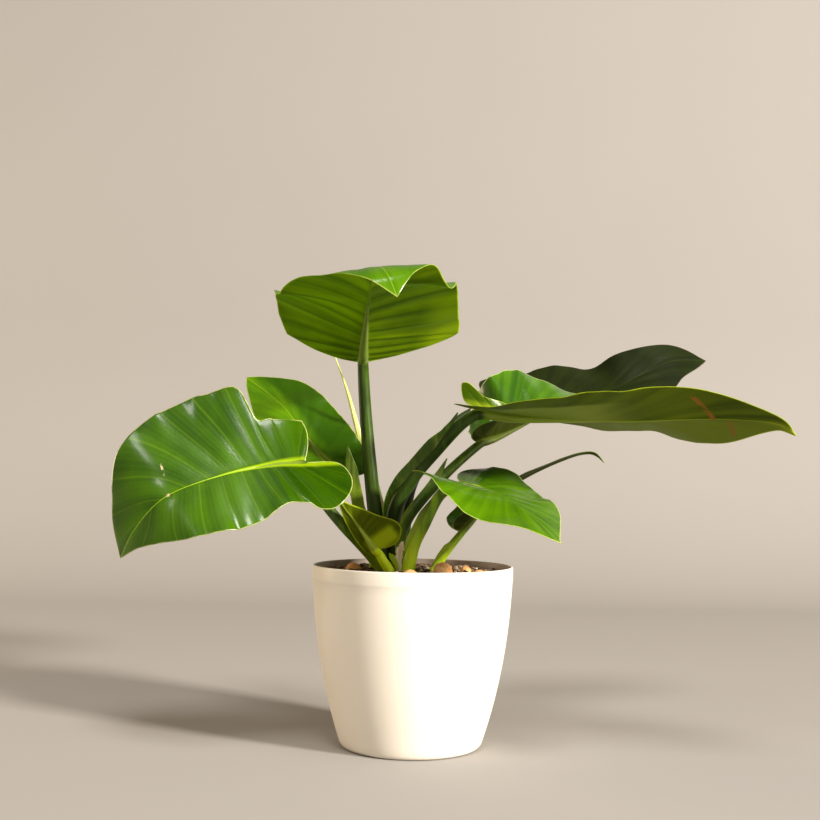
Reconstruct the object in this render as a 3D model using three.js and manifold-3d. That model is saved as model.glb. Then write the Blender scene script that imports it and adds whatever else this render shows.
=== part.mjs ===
// A potted Imperial Green philodendron: a round tapered pot, its soil with clay pebbles,
// a short crown and nine glossy leaves on sheathed petioles, with a new leaf still rolled up.
// Millimetres, +Z up. The origin is the centre of the pot's flat foot; -Y is the plant's front.
import * as THREE from 'three';
import { mergeVertices } from 'three/addons/utils/BufferGeometryUtils.js';
import Module from 'manifold-3d';

const wasm = await Module();
wasm.setup();

// Driving dimensions of the pot
const POT_HEIGHT = 129;
const RIM_RADIUS = 73;
const LIP_HEIGHT = 11;
const LIP_STEP = 0.35;
const WALL = 2;
const FLOOR = 3.5;
const FOOT_RADIUS = 46.5;
const FOOT_CORNER = 5;
const WALL_BULGE = { radius: 69.4, height: 55.5 };
const POT_SIDES = 44;
const WALL_RINGS = 6;

// Driving dimensions of the soil and what lies on it
const GAP = 0.3;
const SOIL_LEVEL = 124;
const MOUND_HEIGHT = 1.5;
const CRUMB_HEIGHT = 1.6;
const CRUMB_SEED = 11;
const SOIL_RINGS = 7;
const HOLE_DEPTH = 12;
const HOLE_TOP = 134;
const HOLE_CLEARANCE = 0.5;
const PEBBLES = [
  { at: [21, -31], radius: 7.2, sunk: 0.35 },
  { at: [38, -14], radius: 4.2, sunk: 0.4 },
  { at: [-43, -4], radius: 6, sunk: 0.5 },
  { at: [-8, 47], radius: 6.5, sunk: 0.5 },
  { at: [46, -38], radius: 5.5, sunk: 0.5 },
  { at: [-2, -52], radius: 6.2, sunk: 0.6 },
];

// Driving dimensions that all leaves share
const BLADE_THICKNESS = 0.8;
const RIB_WIDTH = 0.06;
const RIB_HEIGHT = 1;
const BLADE_STATIONS = 17;
const BLADE_COLUMNS = [RIB_WIDTH, 0.4, 0.74, 1];
const PETIOLE_SIDES = 8;
const PETIOLE_RINGS = 15;
const RIDGE_END = 0.45;
const SHEATH_THICKNESS = 1.2;
const SHEATH_RINGS = 8;

// Halves of a flat blade, from the junction round the basal lobe to the tip. Across is in
// half-widths. Along is in lobe lengths behind the junction and in blade lengths before it.
const OUTLINES = {
  ovate: [
    [0, 0], [0.14, -0.6], [0.4, -1], [0.7, -0.78], [0.92, 0.02], [1, 0.16], [1, 0.27],
    [0.94, 0.41], [0.82, 0.55], [0.65, 0.69], [0.44, 0.81], [0.22, 0.92], [0.07, 0.975], [0, 1],
  ],
  broad: [
    [0, 0], [0.14, -0.6], [0.4, -1], [0.66, -0.8], [0.84, -0.1], [0.93, 0.1], [1, 0.28],
    [1, 0.44], [0.93, 0.58], [0.78, 0.72], [0.55, 0.84], [0.3, 0.93], [0.1, 0.98], [0, 1],
  ],
  drip: [
    [0, 0], [0.14, -0.6], [0.4, -1], [0.66, -0.8], [0.84, -0.1], [0.93, 0.1], [1, 0.28],
    [1, 0.44], [0.95, 0.57], [0.79, 0.7], [0.5, 0.82], [0.2, 0.92], [0.05, 0.97], [0, 1],
  ],
  swept: [
    [0, 0], [0.12, -0.5], [0.4, -0.95], [0.68, -0.8], [0.87, -0.15], [0.98, 0.06], [1.02, 0.17],
    [1.02, 0.29], [0.95, 0.41], [0.83, 0.55], [0.66, 0.68], [0.41, 0.82], [0.15, 0.93], [0, 1],
  ],
  pinched: [
    [0, 0], [0.12, -0.7], [0.42, -1], [0.46, -0.7], [0.28, -0.1], [0.24, 0.08], [0.5, 0.2],
    [0.86, 0.34], [1, 0.49], [1, 0.62], [0.84, 0.73], [0.5, 0.84], [0.2, 0.93], [0, 1],
  ],
  sloped: [
    [0, 0], [0.2, -0.2], [0.46, 0], [0.7, 0.06], [0.88, 0.14], [0.97, 0.24], [1, 0.36],
    [0.99, 0.48], [0.92, 0.6], [0.77, 0.72], [0.55, 0.84], [0.3, 0.93], [0.1, 0.98], [0, 1],
  ],
  wide: [
    [0, 0], [0.12, -0.5], [0.38, -0.95], [0.66, -1], [0.92, -0.8], [1.03, -0.2], [1.04, 0.04],
    [0.97, 0.17], [0.91, 0.31], [0.84, 0.46], [0.76, 0.6], [0.6, 0.74], [0.32, 0.89], [0, 1],
  ],
  arrow: [
    [0, 0], [0.2, -0.6], [0.5, -1], [0.75, -0.8], [0.95, -0.1], [1, 0.08], [0.95, 0.18],
    [0.84, 0.29], [0.7, 0.4], [0.55, 0.52], [0.4, 0.65], [0.25, 0.78], [0.1, 0.92], [0, 1],
  ],
  eared: [
    [0, 0], [0.03, -0.7], [0.3, -1], [0.6, -0.95], [0.86, -0.6], [0.88, -0.2], [0.76, 0.04],
    [0.8, 0.13], [0.96, 0.25], [1, 0.38], [0.93, 0.54], [0.72, 0.7], [0.3, 0.87], [0, 1],
  ],
  shouldered: [
    [0, 0], [0.2, -0.5], [0.36, -0.5], [0.5, 0.05], [0.54, 0.13], [0.56, 0.18], [0.95, 0.23],
    [0.98, 0.33], [1, 0.47], [0.93, 0.59], [0.76, 0.72], [0.5, 0.84], [0.24, 0.93], [0, 1],
  ],
};

// The leaves in turn. Points and directions are in the pot's frame.
// petiole: points from the soil to the junction, and its radius at both ends.
// sheath: points along its middle to its free tip, its width, and the way its width lies.
// midrib: points from the junction to the tip. faces: where the upper side looks at the
// junction, half-way and at the tip. width: half-widths left and right of the midrib, seen
// from above with the tip ahead. lobe: how far each basal lobe reaches back. outline: each
// half's. fold: degrees that each half rises from flat, evenly spaced from the junction to the
// tip. curl: further degrees at the margin. wave: height, count along the blade and phase of
// the margin's wave.
const LEAVES = [
  {
    name: 'leaf_left_front',
    petiole: [
      [-22, -11, 121], [-25, -11, 130], [-38, -17, 145], [-50, -25, 158], [-63, -33, 174],
      [-73, -39, 190], [-76, -42, 202],
    ],
    radius: [4.6, 3.2],
    sheath: {
      points: [[-22, -11, 132], [-28, -13, 141], [-36, -18, 149], [-43, -22, 156]],
      width: 4,
      out: [1, 0, 1],
    },
    midrib: [
      [-76, -42, 202], [-99, -46, 200], [-133, -53, 192], [-169, -60, 177], [-191, -55, 154],
      [-202, -47, 134],
    ],
    faces: [[0.1, -0.85, 0.5], [-0.05, -0.85, 0.5], [-0.5, -0.8, 0.2]],
    width: [47, 66],
    lobe: [30, 6],
    outline: ['eared', 'shouldered'],
    fold: [[10, 5, 0], [10, 5, 0]],
    curl: [[0, 0, 0], [0, 0, 0]],
    wave: [2, 2.5, 0],
  },
  {
    name: 'leaf_left_back',
    petiole: [
      [-28, 17, 121], [-30, 14, 140], [-36, 6, 160], [-41, 2, 176], [-47, 3, 190], [-59, 8, 198],
    ],
    radius: [4.2, 3],
    sheath: {
      points: [[-38, 2, 140], [-39, -3, 161], [-41, -5, 176], [-45, -5, 194], [-49, -5, 215]],
      width: 9,
      out: [1, 0, 0],
    },
    midrib: [[-59, 8, 198], [-80, 28, 219], [-92, 40, 235], [-107, 54, 251], [-136, 78, 272]],
    faces: [[0.1, -0.8, 0.6], [0.1, -0.8, 0.6], [0.1, -0.8, 0.6]],
    width: [34, 33],
    lobe: [18, 18],
    outline: ['ovate', 'broad'],
    fold: [[10, 5, 0], [10, 5, 0]],
    curl: [[0, 0, 0], [0, 0, 0]],
    wave: [1.5, 2, 0.3],
  },
  {
    name: 'leaf_top',
    petiole: [[-23, 3, 121], [-26, 1, 150], [-31, -3, 190], [-36, -7, 240], [-38, -14, 276]],
    radius: [6.2, 4],
    sheath: null,
    midrib: [
      [-38, -14, 276], [-36, -45, 292], [-33, -80, 305], [-29, -125, 315], [-24, -150, 320],
      [-18, -168, 312], [-12, -172, 298],
    ],
    faces: [[0, 0.4, 0.9], [0, 0.1, 1], [0, -0.9, 0.3]],
    width: [72, 65],
    lobe: [5, 9],
    outline: ['wide', 'swept'],
    fold: [[22, 17, 15, -6, -12], [22, 21, 9, 2, 10]],
    curl: [[0, -10, -10], [0, -10, 0]],
    wave: [2, 2.5, 0.1],
  },
  {
    name: 'leaf_right_back',
    petiole: [
      [-3, 21, 121], [-6, 22, 150], [-2, 25, 185], [15, 33, 216], [36, 43, 239], [67, 56, 256],
    ],
    radius: [4.6, 3.3],
    sheath: {
      points: [[-3, 19, 128], [-7, 19, 160], [-4, 22, 185], [9, 29, 214]],
      width: 6,
      out: [-1, 0, 1],
    },
    midrib: [
      [67, 56, 256], [112, 66, 256], [159, 74, 267], [184, 78, 279], [208, 80, 290],
      [236, 82, 291],
    ],
    faces: [[0, -0.5, 0.9], [0, -0.6, 0.8], [0.1, -0.9, 0.4]],
    width: [42, 36],
    lobe: [12, 16],
    outline: ['ovate', 'broad'],
    fold: [[2, 6, 9, -2, 8, 5, -5], [0, 0, 0, 0, 6]],
    curl: [[0, 0, 0], [0, 0, 0]],
    wave: [1.5, 2, 0.6],
  },
  {
    name: 'leaf_right_front',
    petiole: [
      [-12, 9, 121], [-14, 3, 165], [-2, -2, 191], [17, -8, 214], [35, -14, 233], [47, -18, 242],
    ],
    radius: [6.5, 4.2],
    sheath: {
      points: [
        [-15, 7, 128], [-18, 6, 150], [-18, 3, 172], [-11, -4, 189], [0, -8, 202], [12, -12, 216],
        [23, -14, 227], [31, -16, 240],
      ],
      width: 9,
      out: [-1, 0, 1],
    },
    midrib: [
      [47, -18, 242], [88, -40, 236], [140, -62, 233], [192, -88, 234], [230, -108, 231],
      [243, -114, 222],
    ],
    faces: [[0, 0.22, 1], [0, 0.6, 0.8], [0, 0.6, 0.8]],
    width: [42, 44],
    lobe: [20, 9],
    outline: ['pinched', 'drip'],
    fold: [[85, 15, 24, 26, 12, 4, 0], [-7, -10, -13, -9, -3, 0, 0]],
    curl: [[0, 0, 0], [0, 0, 0]],
    wave: [1.5, 2, 0.2],
  },
  {
    name: 'leaf_right_middle',
    petiole: [
      [-6, -7, 121], [-9, -9, 147], [-4, -9, 163], [8, -7, 179], [19, -3, 191], [31, 1, 203],
      [46, 6, 219],
    ],
    radius: [4.6, 3.2],
    sheath: {
      points: [
        [-8, -10, 129], [-9, -12, 151], [-4, -12, 165], [5, -10, 177], [15, -7, 190],
        [24, -4, 207],
      ],
      width: 7,
      out: [-1, 0, 1],
    },
    midrib: [[47, 6, 220], [67, 10, 227], [89, 14, 237], [117, 18, 247], [143, 22, 250]],
    faces: [[0, -0.3, 0.95], [0, -0.3, 0.95], [0, -0.3, 0.95]],
    width: [46, 26],
    lobe: [4, 6],
    outline: ['sloped', 'ovate'],
    fold: [[5, 36, 54, 42, 25, 10, 5], [50, 50, 10]],
    curl: [[0, 0, 0], [0, 0, 0]],
    wave: [1.5, 2, 0.2],
  },
  {
    name: 'leaf_right_low',
    petiole: [
      [-4, -18, 121], [0, -18, 143], [8, -20, 160], [17, -24, 178], [25, -28, 185], [34, -34, 189],
    ],
    radius: [5.4, 3.4],
    sheath: {
      points: [[-6, -18, 129], [-3, -21, 145], [4, -23, 161], [12, -26, 177]],
      width: 6,
      out: [-1, 0, 0.6],
    },
    midrib: [[34, -34, 189], [48, -48, 186], [65, -64, 178], [83, -82, 164], [96, -94, 151]],
    faces: [[-0.2, -0.1, 1], [0.1, -0.2, 1], [0.4, -0.4, 0.9]],
    width: [36, 44],
    lobe: [16, 26],
    outline: ['drip', 'ovate'],
    fold: [[10, 0, 0], [22, -12, 0]],
    curl: [[0, 0, 0], [0, 0, 0]],
    wave: [1.2, 2, 0],
  },
  {
    name: 'leaf_right_slim',
    petiole: [[13, -12, 121], [19, -11, 132], [26, -10, 142], [34, -8, 155]],
    radius: [3.8, 2.6],
    sheath: {
      points: [[15, -13, 129], [18, -13, 134], [23, -13, 141], [27, -12, 147]],
      width: 5,
      out: [-1, 0, 1],
    },
    midrib: [
      [34, -8, 155], [51, -6, 172], [78, 0, 192], [109, 6, 207], [131, 10, 213], [142, 10, 206],
    ],
    faces: [[-0.15, 0.02, 1], [-0.5, 0.06, 0.85], [-0.3, 0.15, 0.9]],
    width: [18, 14],
    lobe: [3, 3],
    outline: ['ovate', 'ovate'],
    fold: [[50, 10, 0], [45, 10, 0]],
    curl: [[0, 0, 0], [0, 0, 0]],
    wave: [1, 2, 0],
  },
  {
    name: 'leaf_front_small',
    petiole: [[-16, -22, 121], [-17, -22, 127], [-21, -23, 133], [-24, -24, 138], [-27, -25, 142]],
    radius: [4, 3],
    sheath: {
      points: [[-11, -23, 127], [-13, -24, 133], [-17, -25, 139]],
      width: 4,
      out: [1, 0, 0],
    },
    midrib: [[-27, -25, 142], [-36, -30, 154], [-43, -36, 164], [-49, -42, 172], [-53, -45, 177]],
    faces: [[0, 0.9, 0.3], [0, 0.9, 0.3], [0, 0.9, 0.3]],
    width: [24, 8],
    lobe: [6, 4],
    outline: ['arrow', 'ovate'],
    fold: [[10, 5, 0], [10, 5, 0]],
    curl: [[0, 0, 0], [0, 0, 0]],
    wave: [0.8, 2, 0],
  },
];

// The crown that the petioles spring from, and the new leaf beside the top leaf's petiole
const CROWN = { at: [-14.5, -3.5], radius: 3, bottom: 108, top: 125 };
const SPEAR = {
  points: [
    [-16, 20, 112], [-17, 20, 140], [-24, 23, 170], [-32, 27, 196],
    [-41, 33, 221], [-52, 28, 259], [-62, 20, 286],
  ],
  radii: [2.4, 2.8, 0.5],
};

// Materials, one for each kind of surface
const COLOURS = {
  pot: [0xe9e2d4, 0.55],
  soil: [0x3a2a20, 0.95],
  clay: [0xb5683f, 0.9],
  blade: [0x2f6b1e, 0.3],
  crown: [0x5f6f3a, 0.6],
  spear: [0xd9dc9a, 0.45],
};

const UP = new THREE.Vector3(0, 0, 1);

function material([color, roughness]) {
  return new THREE.MeshStandardMaterial({ color, roughness, metalness: 0 });
}

function vector(point) {
  return new THREE.Vector3(...point);
}

function curveThrough(points) {
  return new THREE.CatmullRomCurve3(points.map(vector), false, 'catmullrom', 0.5);
}

// Value between evenly spaced ones, for s from 0 to 1
function between(values, s) {
  const place = s * (values.length - 1);
  const index = Math.min(Math.floor(place), values.length - 2);
  const share = THREE.MathUtils.smoothstep(place - index, 0, 1);
  return THREE.MathUtils.lerp(values[index], values[index + 1], share);
}

// A closed mesh from its points and triangles
function closedGeometry(points, triangles) {
  const geometry = new THREE.BufferGeometry();
  const positions = points.flatMap((point) => [point.x, point.y, point.z]);
  geometry.setAttribute('position', new THREE.Float32BufferAttribute(positions, 3));
  geometry.setIndex(triangles.flat());
  return geometry;
}

function toSolid(geometry) {
  const bare = geometry.clone();
  bare.deleteAttribute('normal');
  bare.deleteAttribute('uv');
  const merged = mergeVertices(bare, 1e-4);
  return new wasm.Manifold(new wasm.Mesh({
    numProp: 3,
    vertProperties: new Float32Array(merged.attributes.position.array),
    triVerts: new Uint32Array(merged.index.array),
  }));
}

function toGeometry(solid) {
  const mesh = solid.getMesh();
  const geometry = new THREE.BufferGeometry();
  geometry.setAttribute('position', new THREE.BufferAttribute(mesh.vertProperties, 3));
  geometry.setIndex(new THREE.BufferAttribute(mesh.triVerts, 1));
  return geometry;
}

// A closed sweep along a curve: each ring is an ellipse whose two radii sectionAt gives,
// the first one along the direction wished for
function sweep(curve, wish, sectionAt, rings, sides) {
  const points = [];
  for (let ring = 0; ring <= rings; ring += 1) {
    const s = ring / rings;
    const centre = curve.getPointAt(s);
    const out = acrossCurve(curve, wish, s);
    const aside = new THREE.Vector3().crossVectors(curve.getTangentAt(s), out);
    const [broad, thick] = sectionAt(s);
    for (let side = 0; side < sides; side += 1) {
      const angle = (2 * Math.PI * side) / sides;
      points.push(centre.clone()
        .addScaledVector(out, broad * Math.cos(angle))
        .addScaledVector(aside, thick * Math.sin(angle)));
    }
  }
  points.push(curve.getPointAt(0), curve.getPointAt(1));
  const triangles = [];
  for (let ring = 0; ring < rings; ring += 1) {
    for (let side = 0; side < sides; side += 1) {
      const a = ring * sides + side;
      const b = ring * sides + ((side + 1) % sides);
      triangles.push([a, b, b + sides], [a, b + sides, a + sides]);
    }
  }
  const start = points.length - 2;
  const end = points.length - 1;
  const last = rings * sides;
  for (let side = 0; side < sides; side += 1) {
    const next = (side + 1) % sides;
    triangles.push([start, next, side], [end, last + side, last + next]);
  }
  return closedGeometry(points, triangles);
}

// The direction across a curve that lies nearest to the one wished for
function acrossCurve(curve, wish, s) {
  const tangent = curve.getTangentAt(s);
  return vector(wish).addScaledVector(tangent, -tangent.dot(vector(wish))).normalize();
}

// Everything about one leaf that its surface is worked out from
function leafForm(leaf) {
  const spine = curveThrough(leaf.midrib);
  const length = spine.getLength();
  const margins = leaf.outline.map((shape) => curveThrough(OUTLINES[shape].map((place) => [...place, 0])));
  return { ...leaf, spine, length, margins };
}

// Where a blade's middle surface lies, for a place in the flat leaf: how far across from
// the midrib and along from the junction. side is 0 for the left half and 1 for the right.
function bladePoint(form, side, across, along) {
  const s = THREE.MathUtils.clamp(along / form.length, 0, 1);
  const tangent = form.spine.getTangentAt(s);
  const faces = [0, 1, 2].map((axis) => between(form.faces.map((face) => face[axis]), s));
  const normal = vector(faces);
  normal.addScaledVector(tangent, -normal.dot(tangent)).normalize();
  const right = new THREE.Vector3().crossVectors(tangent, normal);
  const out = right.multiplyScalar(side === 0 ? -1 : 1);
  const reach = across / form.width[side];
  const bend = between(form.fold[side], s) + 0.5 * reach * between(form.curl[side], s);
  const angle = THREE.MathUtils.degToRad(bend);
  const [height, count, phase] = form.wave;
  const wave = Math.sin(2 * Math.PI * (count * (along / form.length) + phase + side / 2));
  const ripple = height * reach * reach * wave;
  return form.spine.getPointAt(s)
    .addScaledVector(tangent, Math.min(along, 0))
    .addScaledVector(out, across * Math.cos(angle))
    .addScaledVector(normal, across * Math.sin(angle) + ripple);
}

// The flat place of a blade's grid point: station along the margin, column out from the midrib
function flatPlace(form, side, station, column) {
  const margin = form.margins[side].getPoint(station);
  const marginAcross = margin.x * form.width[side];
  const marginAlong = margin.y * (margin.y < 0 ? form.lobe[side] : form.length);
  const ribAlong = form.length * station * station;
  return [column * marginAcross, THREE.MathUtils.lerp(ribAlong, marginAlong, column)];
}

function surfaceNormal(form, side, across, along) {
  const step = 0.5;
  const centre = bladePoint(form, side, across, along);
  const outward = bladePoint(form, side, across + step, along).sub(centre);
  const forward = bladePoint(form, side, across, along + step).sub(centre);
  const normal = new THREE.Vector3().crossVectors(outward, forward).normalize();
  return side === 0 ? normal.negate() : normal;
}

function ribNormal(form, along) {
  return surfaceNormal(form, 0, 0, along).add(surfaceNormal(form, 1, 0, along)).normalize();
}

// A closed blade: both faces share one net of triangles, and a strip closes the margin
function bladeGeometry(form) {
  const upper = [];
  const lower = [];
  function place(side, station, column) {
    const [across, along] = flatPlace(form, side, station, column);
    const centre = bladePoint(form, side, across, along);
    let normal = surfaceNormal(form, side, across, along);
    let below = BLADE_THICKNESS / 2;
    if (column === 0) {
      normal = ribNormal(form, along);
      below += RIB_HEIGHT * (1 - station);
    }
    upper.push(centre.clone().addScaledVector(normal, BLADE_THICKNESS / 2));
    lower.push(centre.clone().addScaledVector(normal, -below));
    return upper.length - 1;
  }
  const junction = place(1, 0, 0);
  const tip = place(1, 1, 0);
  const rib = [];
  for (let row = 1; row < BLADE_STATIONS; row += 1) rib.push(place(1, row / BLADE_STATIONS, 0));
  const faces = [];
  const rims = [];
  for (const side of [0, 1]) {
    const rows = rib.map((first, index) => {
      const station = (index + 1) / BLADE_STATIONS;
      return [first, ...BLADE_COLUMNS.map((column) => place(side, station, column))];
    });
    const net = [];
    const last = BLADE_COLUMNS.length;
    for (let column = 0; column < last; column += 1) {
      net.push([junction, rows[0][column], rows[0][column + 1]]);
      for (let row = 0; row + 1 < rows.length; row += 1) {
        const [a, b] = [rows[row][column], rows[row][column + 1]];
        const [c, d] = [rows[row + 1][column], rows[row + 1][column + 1]];
        net.push([a, d, b], [a, c, d]);
      }
      net.push([rows[rows.length - 1][column], tip, rows[rows.length - 1][column + 1]]);
    }
    faces.push(...(side === 0 ? net.map(([a, b, c]) => [a, c, b]) : net));
    const rim = [junction, ...rows.map((row) => row[last]), tip];
    rims.push(side === 0 ? rim.reverse() : rim);
  }
  const count = upper.length;
  const triangles = [
    ...faces.map(([a, b, c]) => [a, c, b]),
    ...faces.map(([a, b, c]) => [a + count, b + count, c + count]),
  ];
  for (const rim of rims) {
    for (let index = 0; index + 1 < rim.length; index += 1) {
      const [a, b] = [rim[index], rim[index + 1]];
      triangles.push([b, a, a + count], [b, a + count, b + count]);
    }
  }
  return closedGeometry([...upper, ...lower], triangles);
}

// A petiole's path: straight down into the soil at its foot, and on as the midrib's ridge
function petiolePath(leaf, form) {
  const [x, y, z] = leaf.petiole[0];
  const ridge = [0, 0.07, 0.16, RIDGE_END].map((s) => {
    const sunk = leaf.radius[1] * THREE.MathUtils.lerp(0.8, 0.1, s / RIDGE_END);
    return form.spine.getPointAt(s).addScaledVector(ribNormal(form, s * form.length), -sunk).toArray();
  });
  return curveThrough([[x, y, z - HOLE_DEPTH], ...leaf.petiole.slice(0, -1), ...ridge]);
}

// A petiole's radius: even up to the junction, then tapering to nothing along the midrib
function petioleRadius(leaf, form, path, s) {
  const [foot, neck] = leaf.radius;
  const ridgeStart = 1 - (RIDGE_END * form.length) / path.getLength();
  return s < ridgeStart
    ? THREE.MathUtils.lerp(foot, neck, s / ridgeStart)
    : THREE.MathUtils.lerp(neck, 0.5, (s - ridgeStart) / (1 - ridgeStart));
}

// A sheath is a flat wing that grows out of the petiole and ends in a free rounded tip
function sheathGeometry({ points, width, out }) {
  const halfWidth = (s) => (width / 2) * Math.min(0.6 + s, 1, 0.35 + 4 * (1 - s));
  return sweep(curveThrough(points), out, (s) => [halfWidth(s), SHEATH_THICKNESS / 2], SHEATH_RINGS, 6);
}

// The petiole and the midrib's ridge in one sweep, wider all round by extra
function stemGeometry(leaf, form, extra) {
  const path = petiolePath(leaf, form);
  function section(s) {
    const radius = petioleRadius(leaf, form, path, s) + extra;
    return [radius, radius];
  }
  return sweep(path, [0, 1, 0], section, PETIOLE_RINGS, PETIOLE_SIDES);
}

// A leaf grown as one piece: its petiole, the sheath on it, and the blade
function leafSolid(leaf) {
  const form = leafForm(leaf);
  const solid = toSolid(stemGeometry(leaf, form, 0)).add(toSolid(bladeGeometry(form)));
  return largestBody(leaf.sheath ? solid.add(toSolid(sheathGeometry(leaf.sheath))) : solid);
}

// The outer body alone, so that no speck of a hollow stays sealed inside
function largestBody(solid) {
  return solid.decompose().reduce((best, body) => (body.volume() > best.volume() ? body : best));
}

// The outer wall is one bulging curve from the foot's corner to the lip
function potProfile() {
  const wallTop = new THREE.Vector2(RIM_RADIUS - LIP_STEP, POT_HEIGHT - LIP_HEIGHT);
  const wallFoot = new THREE.Vector2(FOOT_RADIUS + FOOT_CORNER, FOOT_CORNER * 0.7);
  const bulge = new THREE.Vector2(WALL_BULGE.radius, WALL_BULGE.height);
  const footEdge = new THREE.Vector2(FOOT_RADIUS, 0);
  const footPull = new THREE.Vector2(FOOT_RADIUS + 3.4, 0);
  const corner = new THREE.QuadraticBezierCurve(footEdge, footPull, wallFoot);
  const outer = new THREE.QuadraticBezierCurve(wallFoot, bulge, wallTop);
  return { corner, outer };
}

function potGeometry() {
  const { corner, outer } = potProfile();
  const wall = outer.getPoints(WALL_RINGS);
  const inner = wall.map((point) => new THREE.Vector2(point.x - WALL, Math.max(point.y, FLOOR))).reverse();
  const profile = [
    new THREE.Vector2(0, 0),
    ...corner.getPoints(3),
    ...wall.slice(1),
    new THREE.Vector2(RIM_RADIUS, POT_HEIGHT - LIP_HEIGHT + 0.6),
    new THREE.Vector2(RIM_RADIUS, POT_HEIGHT - 0.6),
    new THREE.Vector2(RIM_RADIUS - 0.6, POT_HEIGHT),
    new THREE.Vector2(RIM_RADIUS - WALL, POT_HEIGHT),
    ...inner,
    new THREE.Vector2(0, FLOOR),
  ];
  return new THREE.LatheGeometry(profile, POT_SIDES).rotateX(Math.PI / 2);
}

// Smooth noise from seeded values on a square grid
function seededNoise(seed) {
  function value(x, y) {
    const sine = Math.sin(x * 127.1 + y * 311.7 + seed * 74.7) * 43758.5453;
    return sine - Math.floor(sine);
  }
  return (x, y) => {
    const [x0, y0] = [Math.floor(x), Math.floor(y)];
    const [u, v] = [THREE.MathUtils.smoothstep(x - x0, 0, 1), THREE.MathUtils.smoothstep(y - y0, 0, 1)];
    const near = THREE.MathUtils.lerp(value(x0, y0), value(x0 + 1, y0), u);
    const far = THREE.MathUtils.lerp(value(x0, y0 + 1), value(x0 + 1, y0 + 1), u);
    return THREE.MathUtils.lerp(near, far, v);
  };
}

// The soil's height at a place: a low mound with crumbs, level where it meets the pot
function soilHeight(noise, x, y, edge) {
  const reach = Math.hypot(x, y) / edge;
  const crumbs = noise(x / 7, y / 7) + 0.6 * noise(x / 3.1, y / 3.1) - 0.8;
  return SOIL_LEVEL + MOUND_HEIGHT * (1 - reach * reach) + CRUMB_HEIGHT * crumbs;
}

// The soil fills the pot up to its level, with a crumbled top
function soilSolid(noise) {
  const { outer } = potProfile();
  const wall = outer.getPoints(WALL_RINGS).map((point) => new THREE.Vector2(point.x - WALL - GAP, point.y));
  const side = wall.filter((point) => point.y > FLOOR + 2 && point.y < SOIL_LEVEL - 6);
  const edge = RIM_RADIUS - LIP_STEP - WALL - GAP - 0.4;
  const base = new THREE.Vector2(FOOT_RADIUS + FOOT_CORNER - WALL - 2 * GAP, FLOOR + GAP);
  const profile = [base, ...side, new THREE.Vector2(edge, SOIL_LEVEL - 3)];
  const sides = POT_SIDES;
  const rings = SOIL_RINGS;
  const points = [new THREE.Vector3(0, 0, FLOOR + GAP)];
  for (const { x, y } of profile) {
    for (let turn = 0; turn < sides; turn += 1) {
      points.push(new THREE.Vector3(x, 0, y).applyAxisAngle(UP, (2 * Math.PI * turn) / sides));
    }
  }
  for (let ring = 0; ring < rings; ring += 1) {
    const radius = edge * (1 - ring / rings);
    for (let turn = 0; turn < sides; turn += 1) {
      const angle = (2 * Math.PI * (turn + ring / 2)) / sides;
      const point = new THREE.Vector3(radius, 0, 0).applyAxisAngle(UP, angle);
      points.push(point.setZ(soilHeight(noise, point.x, point.y, edge)));
    }
  }
  points.push(new THREE.Vector3(0, 0, soilHeight(noise, 0, 0, edge)));
  const triangles = [];
  const loops = profile.length + rings;
  for (let turn = 0; turn < sides; turn += 1) {
    const next = (turn + 1) % sides;
    triangles.push([0, 1 + next, 1 + turn]);
    for (let loop = 0; loop + 1 < loops; loop += 1) {
      const start = 1 + loop * sides;
      const [a, b] = [start + turn, start + next];
      triangles.push([a, b, b + sides], [a, b + sides, a + sides]);
    }
    const top = 1 + (loops - 1) * sides;
    triangles.push([top + turn, top + next, points.length - 1]);
  }
  return toSolid(closedGeometry(points, triangles));
}

// A rounded fired-clay pebble with a slightly uneven skin
function pebbleGeometry(radius, seed) {
  const noise = seededNoise(seed);
  const geometry = mergeVertices(bareSphere(radius));
  const position = geometry.attributes.position;
  const point = new THREE.Vector3();
  for (let index = 0; index < position.count; index += 1) {
    point.fromBufferAttribute(position, index);
    const bump = 0.93 + 0.1 * noise(point.x / radius + 3, (point.y + point.z) / radius + 5);
    point.multiplyScalar(bump);
    position.setXYZ(index, point.x, point.y, point.z * 0.92);
  }
  return geometry;
}

function bareSphere(radius) {
  const sphere = new THREE.IcosahedronGeometry(radius, 1);
  sphere.deleteAttribute('normal');
  sphere.deleteAttribute('uv');
  return sphere;
}

function cylinderSolid(x, y, radius, bottom, top, sides) {
  const height = top - bottom;
  const geometry = new THREE.CylinderGeometry(radius, radius, height, sides);
  geometry.rotateX(Math.PI / 2).translate(x, y, bottom + height / 2);
  return toSolid(geometry);
}

// The hole that a petiole stands in: the petiole again, made wider and let down a little
function petioleHole(leaf) {
  return toSolid(stemGeometry(leaf, leafForm(leaf), HOLE_CLEARANCE).translate(0, 0, -GAP));
}

function spearGeometry() {
  const { points, radii } = SPEAR;
  return sweep(curveThrough(points), [0, 1, 0], (s) => [between(radii, s), between(radii, s)], 12, 7);
}

function mesh(name, geometry, finish) {
  const piece = new THREE.Mesh(geometry, material(finish));
  piece.name = name;
  return piece;
}

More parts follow.
